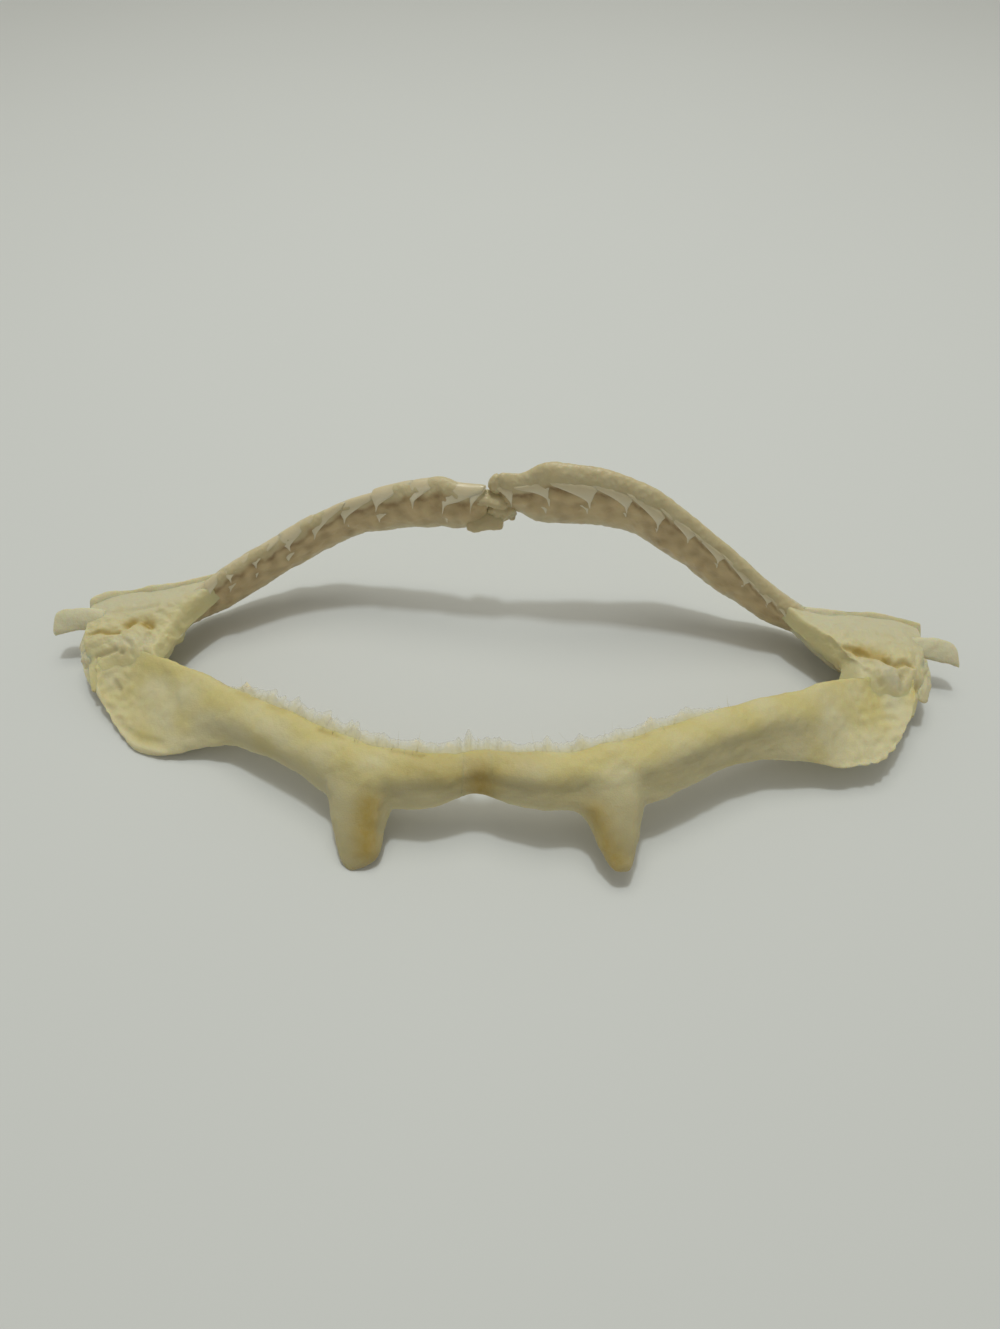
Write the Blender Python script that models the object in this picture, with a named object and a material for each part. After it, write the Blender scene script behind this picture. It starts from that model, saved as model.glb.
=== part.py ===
"""Dried silky shark jaw, lying open on a table with its tooth edges up.

The near arc is the upper jaw: two oval bars that each carry one leg-like process and end in a
dished lobe. The far arc is the lower jaw: two flatter bars that stand up behind, with the
teeth on the face that looks into the mouth, and a thin wing that stands on the table at each
corner. Sections of every bar run from the rim, where the teeth are, to the foot, the other edge.
"""

import math
from typing import NamedTuple

import bmesh
import bpy
import numpy as np
from mathutils import Vector

MM = 0.001
GAP = 0.35                      # between neighbouring pieces, mm
RING_POINTS = 14                # points round a bar's section
TABLE_CENTRE = (0.0, -4.2)      # middle of the specimen on the bench, mm
LEFT, RIGHT = -1, 1
SHORTEST_BAR = 2                # a bar of so few sections keeps both ends square


class Section(NamedTuple):
    """One cross-section, in millimetres on the bench."""
    rim: tuple
    foot: tuple
    thick: float
    dish: float = 0.0


class Leg(NamedTuple):
    """The process that grows from the foot of an upper bar."""
    middle: float               # section number at its middle
    inner: float                # half widths towards the symphysis and the lobe,
    outer: float                # in section numbers
    bluntness: float
    slant: float                # how much further the tip reaches on its outer side
    reach: tuple                # mm, from the foot of the bar to the tip


UPPER_LEFT = (
    Section((-7.3, -34.0, 20.0), (-7.3, -41.5, 12.5), 8.0),
    Section((-15.5, -34.5, 21.0), (-15.5, -44.5, 11.0), 9.5),
    Section((-28.5, -33.0, 21.0), (-29.0, -44.5, 9.5), 10.0),
    Section((-41.0, -28.0, 20.5), (-42.5, -41.0, 8.5), 10.5),
    Section((-54.0, -21.5, 19.5), (-54.5, -32.0, 8.0), 10.0),
    Section((-69.0, -13.0, 17.5), (-69.0, -24.5, 7.5), 9.0),
    Section((-84.0, -4.5, 16.0), (-82.5, -22.0, 4.5), 7.5, 0.5),
    Section((-96.5, 2.5, 14.5), (-93.5, -22.5, 1.8), 5.5, 2.0),
    Section((-108.0, 7.5, 13.5), (-104.0, -19.5, 0.8), 4.0, 3.0),
    Section((-116.0, 9.0, 12.0), (-114.0, -9.5, 3.5), 3.6, 2.0),
    Section((-120.0, 6.5, 10.5), (-118.5, -2.0, 7.0), 3.0),
)
UPPER_RIGHT = (
    Section((-4.0, -34.0, 20.5), (-4.0, -42.0, 12.5), 8.0),
    Section((5.0, -35.0, 21.5), (5.0, -45.0, 12.5), 9.5),
    Section((15.5, -35.0, 22.0), (15.5, -46.5, 12.5), 10.0),
    Section((28.5, -32.5, 22.5), (29.0, -46.0, 11.5), 10.5),
    Section((41.0, -28.0, 22.5), (41.5, -43.0, 12.0), 10.5),
    Section((56.0, -22.0, 22.0), (55.5, -36.0, 12.0), 10.0),
    Section((70.5, -16.5, 20.5), (70.0, -30.5, 11.0), 9.0),
    Section((83.0, -12.0, 18.5), (81.0, -29.5, 10.0), 7.5, 0.5),
    Section((95.5, -7.5, 17.5), (92.5, -31.0, 8.0), 5.5, 2.0),
    Section((107.0, -5.0, 16.0), (104.5, -28.5, 8.5), 4.0, 3.0),
    Section((115.0, -4.0, 15.0), (113.0, -19.0, 10.5), 3.6, 2.0),
    Section((118.0, -6.0, 14.0), (117.0, -12.0, 12.5), 3.0),
)
LOWER_LEFT = (
    Section((-3.9, 42.6, 43.7), (-4.0, 44.1, 31.0), 5.0),
    Section((-11.9, 43.9, 42.1), (-12.4, 43.9, 28.0), 6.0),
    Section((-20.9, 45.5, 42.9), (-21.6, 46.5, 26.5), 6.5),
    Section((-45.7, 44.9, 36.2), (-48.2, 50.0, 19.5), 6.5),
    Section((-61.7, 41.8, 29.6), (-65.5, 47.0, 12.5), 6.5),
    Section((-73.6, 36.8, 25.7), (-79.7, 41.0, 7.0), 6.5),
    Section((-84.3, 31.2, 22.0), (-90.3, 34.8, 4.2), 6.5),
    Section((-92.7, 25.7, 17.3), (-97.7, 27.3, 3.5), 6.0),
    Section((-100.0, 18.9, 14.1), (-102.7, 15.9, 4.5), 5.0),
    Section((-102.7, 16.2, 13.2), (-103.9, 12.9, 6.5), 4.0),
)
LOWER_RIGHT = (
    Section((-1.5, 43.4, 49.4), (-0.9, 45.5, 38.0), 5.0),
    Section((5.5, 43.7, 49.2), (5.8, 45.1, 34.5), 6.0),
    Section((13.9, 43.4, 52.1), (13.5, 44.0, 31.5), 6.5),
    Section((28.5, 41.9, 51.4), (30.4, 43.8, 30.5), 7.0),
    Section((40.1, 39.3, 48.6), (43.4, 43.5, 27.5), 7.0),
    Section((52.1, 35.8, 42.5), (56.7, 40.4, 19.5), 7.0),
    Section((65.3, 31.0, 34.0), (70.5, 34.3, 11.0), 6.5),
    Section((78.2, 25.2, 24.5), (84.1, 29.0, 5.5), 6.5),
    Section((89.7, 19.0, 15.0), (93.9, 19.2, 4.0), 6.0),
    Section((100.2, 11.5, 9.2), (104.0, 7.1, 4.2), 5.0),
    Section((102.6, 10.0, 9.1), (105.9, 5.9, 4.8), 4.0),
)
WING_LEFT = (
    Section((-79.7, 34.5, 21.7), (-81.0, 36.5, 14.0), 3.5),
    Section((-91.0, 33.5, 18.1), (-93.0, 32.5, 5.0), 3.4),
    Section((-101.0, 31.0, 17.5), (-102.0, 22.0, 2.0), 3.0),
    Section((-112.0, 30.5, 15.5), (-112.0, 22.0, -3.0), 2.6),
    Section((-122.0, 30.5, 13.5), (-121.5, 22.0, -3.0), 2.4),
    Section((-128.5, 28.5, 11.5), (-127.0, 24.0, 2.0), 2.0),
)
WING_RIGHT = (
    Section((78.6, 24.5, 23.1), (80.8, 27.0, 14.0), 3.5),
    Section((89.5, 22.5, 16.4), (92.0, 21.5, 5.0), 3.4),
    Section((99.0, 19.5, 17.5), (101.5, 10.0, 2.0), 3.0),
    Section((110.0, 20.0, 16.0), (111.0, 11.0, -3.0), 2.6),
    Section((122.0, 20.0, 13.5), (122.0, 10.5, -3.0), 2.4),
    Section((129.0, 18.5, 12.0), (128.5, 12.5, 2.0), 2.0),
)
STUB_LEFT = (
    Section((-120.5, 22.0, 14.0), (-120.5, 18.0, 10.5), 2.6),
    Section((-130.0, 22.5, 14.5), (-130.0, 17.5, 10.0), 2.2),
    Section((-135.0, 22.0, 14.0), (-135.0, 17.0, 9.0), 1.8),
    Section((-136.3, 20.0, 12.0), (-136.5, 17.0, 8.5), 1.4),
)
STUB_RIGHT = (
    Section((119.5, 11.5, 14.0), (119.5, 7.0, 10.5), 2.6),
    Section((128.0, 11.0, 14.0), (128.0, 6.0, 10.0), 2.4),
    Section((134.0, 9.5, 13.5), (135.0, 4.5, 9.0), 2.0),
    Section((136.0, 7.5, 12.0), (136.5, 4.0, 8.5), 1.4),
)
UPPER_SYMPHYSIS = (
    Section((-6.9, -34.5, 20.0), (-6.9, -40.5, 13.5), 7.0),
    Section((-5.65, -34.5, 20.5), (-5.65, -40.0, 14.5), 8.2),
    Section((-4.4, -34.5, 20.0), (-4.4, -40.5, 13.5), 7.0),
)
LEG_LEFT = Leg(2.52, 0.48, 0.60, 6.0, 0.10, (0.3, -13.5, -11.0))
LEG_RIGHT = Leg(3.15, 0.62, 0.42, 2.4, 0.0, (0.3, -14.0, -6.0))


class Teeth(NamedTuple):
    """A dried gum with its teeth along one bar."""
    first: float                # section numbers where the row starts and ends
    last: float
    lingual: int                # +1 where the mouth side is the front face, else -1
    cusp: float                 # mm that a cusp stands out of the gum
    rim_spike: float            # mm that the outermost row stands above the rim


TEETH_PER_SIDE = 13
WIDEST_TOOTH, NARROWEST_TOOTH = 9.2, 5.4
GUM_THICKNESS = 1.0
UPPER_LEFT_TEETH = Teeth(0.1, 6.1, -1, 1.8, 1.8)
UPPER_RIGHT_TEETH = Teeth(0.1, 7.1, -1, 1.8, 1.8)
LOWER_LEFT_TEETH = Teeth(0.2, 7.4, 1, 1.8, 0.3)
LOWER_RIGHT_TEETH = Teeth(0.2, 8.2, 1, 1.8, 0.3)


class Lump(NamedTuple):
    """A knot of dried ligament."""
    centre: tuple
    radii: tuple
    roughness: float
    fineness: int               # subdivisions of the ball that it starts from


JOINT_LEFT = Lump((-115.0, 15.5, 8.5), (12.5, 9.0, 7.0), 0.14, 3)
JOINT_RIGHT = Lump((111.5, 3.0, 11.0), (13.0, 9.5, 7.5), 0.14, 3)
LOWER_SYMPHYSIS = Lump((0.6, 43.2, 35.7), (4.1, 3.0, 4.0), 0.14, 2)

CARTILAGE = ("dry_cartilage", (0.62, 0.55, 0.34), 0.55)
GUM_AND_TEETH = ("gum_and_teeth", (0.74, 0.68, 0.52), 0.35)
LIGAMENT = ("dried_ligament", (0.55, 0.44, 0.20), 0.6)


def clear_scene():
    """Remove whatever the file opened with."""
    for obj in list(bpy.data.objects):
        bpy.data.objects.remove(obj, do_unlink=True)


def material(finish):
    """Return the Principled material of a finish, made once."""
    name, colour, roughness = finish
    found = bpy.data.materials.get(name)
    if found:
        return found
    made = bpy.data.materials.new(name)
    made.use_nodes = True
    shader = made.node_tree.nodes["Principled BSDF"]
    shader.inputs["Base Color"].default_value = (*colour, 1.0)
    shader.inputs["Roughness"].default_value = roughness
    shader.inputs["Metallic"].default_value = 0.0
    return made


def smooth_curve(points, numbers):
    """Read a Catmull-Rom curve through rows of values at fractional row numbers."""
    points = np.asarray(points, float)
    last = len(points) - 1
    numbers = np.clip(np.asarray(numbers, float), 0.0, last)
    row = np.minimum(numbers.astype(int), last - 1)
    part = (numbers - row)[:, None]
    before = points[np.maximum(row - 1, 0)]
    here, after = points[row], points[row + 1]
    beyond = points[np.minimum(row + 2, last)]
    slope_here, slope_after = (after - before) / 2, (beyond - here) / 2
    return ((2 * part**3 - 3 * part**2 + 1) * here + (part**3 - 2 * part**2 + part) * slope_here
            + (3 * part**2 - 2 * part**3) * after + (part**3 - part**2) * slope_after)


class Bar:
    """A bar swept through its sections; side is LEFT or RIGHT."""

    def __init__(self, sections, side, leg=None, rows_per_section=2):
        self.rim = [section.rim for section in sections]
        self.foot = [section.foot for section in sections]
        self.form = [(section.thick, section.dish) for section in sections]
        self.side = side
        self.leg = leg
        self.end = len(sections) - 1
        self.rows = rows_per_section * self.end + 1

    def frame(self, numbers):
        """Middle, rimward axis, front normal, half height, half thickness and dish."""
        rim = smooth_curve(self.rim, numbers)
        foot = smooth_curve(self.foot, numbers)
        thick, dish = smooth_curve(self.form, numbers).T
        middle = (rim + foot) / 2
        step = 0.02
        ahead = smooth_curve(self.rim, numbers + step) + smooth_curve(self.foot, numbers + step)
        behind = smooth_curve(self.rim, numbers - step) + smooth_curve(self.foot, numbers - step)
        height = np.linalg.norm(rim - foot, axis=1)
        axis = (rim - foot) / height[:, None]
        front = self.side * np.cross(ahead - behind, axis)
        front[:, 0] *= np.clip(numbers, 0, 1) * (self.end > SHORTEST_BAR)
        front /= np.linalg.norm(front, axis=1)[:, None]
        return middle, axis, front, height / 2, thick / 2, dish

    def points(self, numbers, angles, lift=0.0):
        """Surface points; angle 0 is the rim, 90 degrees the front face, 180 the foot.

        lift moves them outwards by millimetres and may be given for each point.
        """
        numbers = np.asarray(numbers, float)
        middle, axis, front, half_height, half_thick, dish = self.frame(numbers)
        lift = np.broadcast_to(lift, (len(numbers), len(angles)))
        along = np.cos(angles)[None, :]
        across = np.sin(angles)[None, :]
        rimward = along * (half_height[:, None] + lift)
        outward = across * (half_thick[:, None] + lift) - dish[:, None] * (1 - along**2)
        grid = middle[:, None, :] + rimward[:, :, None] * axis[:, None, :]
        grid = grid + outward[:, :, None] * front[:, None, :]
        if self.leg:
            offset = numbers - self.leg.middle
            offset = offset / np.where(offset < 0, self.leg.inner, self.leg.outer)
            swell = np.exp(-np.abs(offset)**self.leg.bluntness) * (1 + self.leg.slant * offset)
            root = np.clip((-along - 0.25) / 0.75, 0, 1)**1.3
            grid = grid + (swell[:, None] * root)[:, :, None] * np.array(self.leg.reach)
        return grid


def closed_tube(grid):
    """A bmesh with one ring of faces for each pair of rows, and both ends capped."""
    mesh = bmesh.new()
    rows, columns = grid.shape[:2]
    verts = [[mesh.verts.new(Vector(point) * MM) for point in row] for row in grid]
    for row in range(rows - 1):
        for column in range(columns):
            beside = (column + 1) % columns
            mesh.faces.new((verts[row][column], verts[row][beside],
                            verts[row + 1][beside], verts[row + 1][column]))
    mesh.faces.new(verts[0])
    mesh.faces.new(verts[-1])
    bmesh.ops.recalc_face_normals(mesh, faces=mesh.faces)
    return mesh


def shift_to_origin(mesh):
    """Move a bmesh from the bench to the specimen's own origin."""
    offset = Vector((-TABLE_CENTRE[0], -TABLE_CENTRE[1], 0.0)) * MM
    bmesh.ops.translate(mesh, vec=offset, verts=mesh.verts)


def cut_at_table(mesh):
    """Cut off flat what would reach below the table."""
    everything = mesh.verts[:] + mesh.edges[:] + mesh.faces[:]
    cut = bmesh.ops.bisect_plane(mesh, geom=everything, plane_co=(0, 0, 0), plane_no=(0, 0, -1),
                                 clear_outer=True, dist=1e-7)
    edges = [item for item in cut["geom_cut"] if isinstance(item, bmesh.types.BMEdge)]
    if edges:
        bmesh.ops.edgeloop_fill(mesh, edges=edges)
    bmesh.ops.recalc_face_normals(mesh, faces=mesh.faces)


def add_object(name, mesh, finish):
    """Turn a bmesh into a named, smooth shaded object."""
    data = bpy.data.meshes.new(name)
    shift_to_origin(mesh)
    mesh.to_mesh(data)
    mesh.free()
    data.materials.append(material(finish))
    obj = bpy.data.objects.new(name, data)
    bpy.context.scene.collection.objects.link(obj)
    data.shade_smooth()
    data.set_sharp_from_angle(angle=math.radians(50))
    return obj


def add_cutter(name, mesh):
    """Make a hidden object for a Boolean."""
    obj = add_object(name, mesh, CARTILAGE)
    obj.hide_render = True
    obj.display_type = "WIRE"
    return obj


def boolean(obj, other, operation):
    """Give obj an exact Boolean with other."""
    step = obj.modifiers.new(operation.title(), "BOOLEAN")
    step.operation = operation
    step.object = other
    step.solver = "EXACT"


def ring_angles():
    """Angles round a bar's section, the rim first."""
    return np.arange(RING_POINTS) * 2 * math.pi / RING_POINTS


def bar_numbers(bar):
    """Section numbers to build a bar at, closer together along its leg."""
    numbers = np.linspace(0, bar.end, bar.rows)
    if bar.leg:
        spread = 1.5 * max(bar.leg.inner, bar.leg.outer)
        close = np.linspace(bar.leg.middle - spread, bar.leg.middle + spread, 11)
        apart = np.abs(numbers - bar.leg.middle) > spread + 0.1
        numbers = np.sort(np.concatenate((numbers[apart], close)))
    return numbers


def make_bar(name, bar, wing=None):
    """A half jaw; wing is the Bar of the plate that grows from its corner."""
    obj = add_object(name, bar_mesh(bar), CARTILAGE)
    if wing:
        boolean(obj, add_cutter(name + "_wing", bar_mesh(wing)), "UNION")
    return obj


def bar_mesh(bar, lift=0.0):
    """The closed surface of a bar, flat where it meets the table."""
    mesh = closed_tube(bar.points(bar_numbers(bar), ring_angles(), lift))
    if lift == 0.0:
        cut_at_table(mesh)
    return mesh


def tooth_numbers(bar, teeth):
    """Section numbers of each tooth's near foot, tip and far foot, and of the row's ends."""
    fine = np.linspace(teeth.first, teeth.last, 400)
    steps = np.linalg.norm(np.diff(smooth_curve(bar.rim, fine), axis=0), axis=1)
    travelled = np.concatenate(([0.0], np.cumsum(steps)))
    widths = np.linspace(WIDEST_TOOTH, NARROWEST_TOOTH, TEETH_PER_SIDE)
    widths *= travelled[-1] / widths.sum()
    starts = np.concatenate(([0.0], np.cumsum(widths)[:-1]))
    shares = np.array([0.22, 0.5, 0.78])
    places = (starts[:, None] + widths[:, None] * shares).ravel()
    places = np.concatenate(([0.0], places, [travelled[-1]]))
    return np.interp(places, travelled, fine)


def make_teeth(name, bar, teeth):
    """The gum strip over a rim, raised to a cusp at every tooth."""
    numbers = tooth_numbers(bar, teeth)
    step = 2 * math.pi / RING_POINTS
    turns = np.arange(-1, 5)
    angles = turns * step * teeth.lingual
    raised = np.zeros(len(numbers))
    raised[2::3] = 1.0
    row_one = np.array([0.0, 0.4, 1.0, 1.0, 0.8, 0.0])
    rim_row = np.array([0.0, 1.0, 0.0, 0.0, 0.0, 0.0])
    outer = GAP + GUM_THICKNESS + raised[:, None] * (teeth.cusp * row_one + teeth.rim_spike * rim_row)
    outer[:, 0] = GAP + 0.3
    outer[:, -1] = GAP + 0.3
    inside = bar.points(numbers, angles, GAP)
    outside = bar.points(numbers, angles, outer)
    grid = np.concatenate((outside, inside[:, ::-1]), axis=1)
    return add_object(name, closed_tube(grid), GUM_AND_TEETH)


def make_lump(name, lump, neighbours):
    """A knobbly ball of ligament, hollowed by the bars that it holds."""
    mesh = bmesh.new()
    bmesh.ops.create_icosphere(mesh, subdivisions=lump.fineness, radius=1.0)
    for vert in mesh.verts:
        x, y, z = vert.co
        swell = math.sin(2.6 * x + 1) * math.cos(2.2 * y - 0.5) + 0.5 * math.sin(3.1 * z + 2 * x)
        knob = math.sin(6 * x + 2) * math.sin(7 * y) * math.cos(6 * z)
        radius = 1 + lump.roughness * (swell + 0.7 * knob)
        vert.co = Vector([(middle + radius * size * part) * MM for middle, size, part
                          in zip(lump.centre, lump.radii, vert.co)])
    obj = add_object(name, mesh, LIGAMENT)
    for number, bar in enumerate(neighbours):
        cutter = add_cutter(f"{name}_cut_{number}", bar_mesh(bar, GAP))
        boolean(obj, cutter, "DIFFERENCE")
    return obj


def main():
    """Build every piece of the jaw."""
    clear_scene()
    upper_left = Bar(UPPER_LEFT, LEFT, LEG_LEFT)
    upper_right = Bar(UPPER_RIGHT, RIGHT, LEG_RIGHT)
    lower_left, lower_right = Bar(LOWER_LEFT, LEFT), Bar(LOWER_RIGHT, RIGHT)
    wing_left, wing_right = Bar(WING_LEFT, LEFT), Bar(WING_RIGHT, RIGHT)
    make_bar("upper_jaw_left", upper_left)
    make_bar("upper_jaw_right", upper_right)
    make_bar("lower_jaw_left", lower_left, wing_left)
    make_bar("lower_jaw_right", lower_right, wing_right)
    make_teeth("upper_teeth_left", upper_left, UPPER_LEFT_TEETH)
    make_teeth("upper_teeth_right", upper_right, UPPER_RIGHT_TEETH)
    make_teeth("lower_teeth_left", lower_left, LOWER_LEFT_TEETH)
    make_teeth("lower_teeth_right", lower_right, LOWER_RIGHT_TEETH)
    stub_left = Bar(STUB_LEFT, LEFT, rows_per_section=1)
    stub_right = Bar(STUB_RIGHT, RIGHT, rows_per_section=1)
    make_bar("hyoid_stub_left", stub_left)
    make_bar("hyoid_stub_right", stub_right)
    make_bar("upper_symphysis", Bar(UPPER_SYMPHYSIS, RIGHT))
    make_lump("lower_symphysis", LOWER_SYMPHYSIS, (lower_right,))
    make_lump("jaw_joint_left", JOINT_LEFT, (upper_left, lower_left, wing_left, stub_left))
    make_lump("jaw_joint_right", JOINT_RIGHT, (upper_right, lower_right, wing_right, stub_right))


main()
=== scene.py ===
"""Looks of a dried silky shark jaw that lies open on a table with its tooth edges up.

The near arc is the upper jaw and the far arc the lower jaw; left and right are the viewer's.
A bar is a surface of two parameters: a section number along it, and an angle round its ring that
is 0 at the rim where the teeth are, a quarter turn on the front face and a half turn at the foot.
Lengths are in millimetres on the bench until a mesh is written.
"""
import logging
import math
from dataclasses import dataclass
from enum import Enum
from typing import NamedTuple, Sequence

import bpy
import numpy as np
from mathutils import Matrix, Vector

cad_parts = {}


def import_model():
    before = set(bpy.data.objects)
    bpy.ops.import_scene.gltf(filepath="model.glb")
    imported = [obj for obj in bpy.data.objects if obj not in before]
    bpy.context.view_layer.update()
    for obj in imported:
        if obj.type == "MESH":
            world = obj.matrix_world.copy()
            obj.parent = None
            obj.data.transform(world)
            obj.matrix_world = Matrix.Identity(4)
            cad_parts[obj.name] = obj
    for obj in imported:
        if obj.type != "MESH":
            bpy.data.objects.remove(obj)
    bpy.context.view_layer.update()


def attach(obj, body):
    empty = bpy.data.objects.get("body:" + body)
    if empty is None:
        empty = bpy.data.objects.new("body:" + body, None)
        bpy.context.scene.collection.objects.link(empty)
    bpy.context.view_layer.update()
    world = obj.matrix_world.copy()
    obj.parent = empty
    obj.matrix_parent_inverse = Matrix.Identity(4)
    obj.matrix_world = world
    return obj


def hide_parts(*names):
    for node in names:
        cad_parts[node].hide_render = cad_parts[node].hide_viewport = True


Array = np.ndarray
Point = tuple[float, float, float]
Colour = tuple[float, float, float]

MM = 0.001
BENCH_TO_FRAME = np.array((0.0, 4.2, 0.0))      # mm, from the bench to the object's own origin
BODY = "root"
FULL_TURN = 2 * math.pi
LOG = logging.getLogger("jaw")


class Side(Enum):
    """Which half of the specimen, as the viewer sees it."""

    LEFT = -1
    RIGHT = 1

    @property
    def word(self) -> str:
        """The side's name in a piece's name."""
        return self.name.lower()


class Jaw(Enum):
    """The two jaws, by their names in a piece's name."""

    UPPER = "upper"
    LOWER = "lower"


class Slot(Enum):
    """Finish slots of the record."""

    CARTILAGE = "cartilage"
    GUM_AND_TEETH = "gum_and_teeth"
    LIGAMENT = "ligament"


def cubic(part: Array, here: Array, slope_here: Array, after: Array, slope_after: Array) -> Array:
    """A Hermite cubic from one value to another, with a given slope at each.

    Args:
        part: Part of the way, from 0 to 1.
        here: Values at its start.
        slope_here: Slopes there, for the whole way.
        after: Values at its end.
        slope_after: Slopes there.

    Returns:
        The values at the parts of the way.
    """
    return ((2 * part**3 - 3 * part**2 + 1) * here + (part**3 - 2 * part**2 + part) * slope_here
            + (3 * part**2 - 2 * part**3) * after + (part**3 - part**2) * slope_after)


def smooth_curve(rows: Array, numbers: Array) -> Array:
    """Read a Catmull-Rom curve: a cubic between two rows, whose slope at a row is half the step
    from the row before it to the row after it.

    Args:
        rows: The values that the curve passes through, one row each.
        numbers: Fractional row numbers, in one dimension.

    Returns:
        One row of values for each number.
    """
    last = len(rows) - 1
    numbers = np.clip(numbers, 0.0, last)
    row = np.minimum(numbers.astype(int), last - 1)
    here, after = rows[row], rows[row + 1]
    slope_here = (after - rows[np.maximum(row - 1, 0)]) / 2
    slope_after = (rows[np.minimum(row + 2, last)] - here) / 2
    return cubic((numbers - row)[:, None], here, slope_here, after, slope_after)


def unit(vectors: Array) -> Array:
    """Vectors scaled to a length of one; a zero vector stays zero."""
    return vectors / np.maximum(np.linalg.norm(vectors, axis=-1, keepdims=True), 1e-9)


def bump(values: Array, middle: float, width: float) -> Array:
    """A bell of height 1 round a middle: e to the minus square of the distance over the width."""
    return np.exp(-((values - middle) / width)**2)


def ramp(values: Array, start: float, end: float) -> Array:
    """A smooth step from 0 at start to 1 at end: three times the square of the part of the way
    less twice its cube."""
    part = np.clip((values - start) / (end - start), 0.0, 1.0)
    return part * part * (3 - 2 * part)


def plateau(values: Array, start: float, full: float, fading: float, end: float) -> Array:
    """A smooth step up from start to full times a smooth step down from fading to end."""
    return ramp(values, start, full) * (1 - ramp(values, fading, end))


def quarter_circle(share: Array) -> Array:
    """Height of a quarter circle of radius 1, which starts upright at 0 and is level at 1."""
    return np.sqrt(1 - (1 - np.clip(share, 0.0, 1.0))**2)


def blunt_circle(place: Array, power: int) -> Array:
    """Half height of a squared circle: the root of 1 minus a power of the place, from -1 to 1."""
    return np.sqrt(np.clip(1 - place**power, 0.0004, 1))


def round_angles(columns: int) -> Array:
    """Angles an even way apart round a ring, as one row."""
    return np.arange(columns)[None, :] * FULL_TURN / columns


def points_at(first: Array, second: Array, third: Array) -> Array:
    """Points from three coordinates that broadcast with one another."""
    return np.stack(np.broadcast_arrays(first, second, third), axis=-1)


@dataclass(frozen=True)
class Ripple:
    """Smooth random relief: plane sine waves in seeded directions, added up.

    Attributes:
        wavelength: Middle wavelength, mm.
        height: Usual height, mm.
        seed: Seed of the directions and phases.
    """

    wavelength: float
    height: float
    seed: int

    def at(self, points: Array) -> Array:
        """Height at each point: the waves' mean sine times a factor that makes it the usual one.

        Args:
            points: The points, mm.

        Returns:
            One height for each, mm.
        """
        waves = 22
        random = np.random.default_rng(self.seed)
        directions = unit(random.normal(size=(waves, 3)))
        directions *= random.uniform(0.65, 1.5, (waves, 1)) * FULL_TURN / self.wavelength
        phases = random.uniform(0, FULL_TURN, waves)
        flat = points.reshape(-1, 3)
        total = np.sin(flat @ directions.T + phases).sum(axis=1) / math.sqrt(waves / 2)
        return self.height * total.reshape(points.shape[:-1])


def relief(points: Array, seed: int, *waves: tuple[float, float]) -> Array:
    """The sum of several ripples at each point.

    Args:
        points: The points, mm.
        seed: Seed of the first ripple; the others' seeds count on from it.
        waves: Wavelength and height of each ripple, mm.

    Returns:
        One height for each point, mm.
    """
    return sum(Ripple(*wave, seed + number).at(points) for number, wave in enumerate(waves))


def bone_relief(points: Array) -> Array:
    """The relief that cartilage has, and all that lies on it follows."""
    return relief(points, 11, (30.0, 0.28), (11.0, 0.14), (4.2, 0.05), (1.8, 0.02))


@dataclass(frozen=True)
class Mark:
    """A pit, groove, ridge or stain along a path on a surface, which may also carry painted shade and painted
    light.

    Attributes:
        path: Points of the path, mm on the bench; one point makes a spot.
        radius: Distance at which the mark has faded to a third, mm.
        height: How far it stands out, mm; below 0 it is sunk.
        hollow: How much painted shade it has, from 0 to 1.
        ochre: How much ochre stain it has, from 0 to 1.
        pale: How much pale colour it has, from 0 to 1: bleaching on most marks, painted light on the lobe
            rims and bar ends.
    """

    path: tuple[Point, ...]
    radius: float
    height: float = 0.0
    hollow: float = 0.0
    ochre: float = 0.0
    pale: float = 0.0

    def nearness(self, points: Array) -> Array:
        """1 on the path, falling off as e to the minus square of the distance over the radius.

        Args:
            points: The points, mm on the bench.

        Returns:
            One nearness for each.
        """
        corners = np.array(self.path)
        ends = corners[1:] if len(corners) > 1 else corners
        nearest = np.full(points.shape[:-1], np.inf)
        for start, end in zip(corners, ends):
            along = end - start
            share = (points - start) @ along / max(along @ along, 1e-9)
            closest = start + np.clip(share, 0, 1)[..., None] * along
            nearest = np.minimum(nearest, ((points - closest)**2).sum(axis=-1))
        return np.exp(-nearest / self.radius**2)


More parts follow.
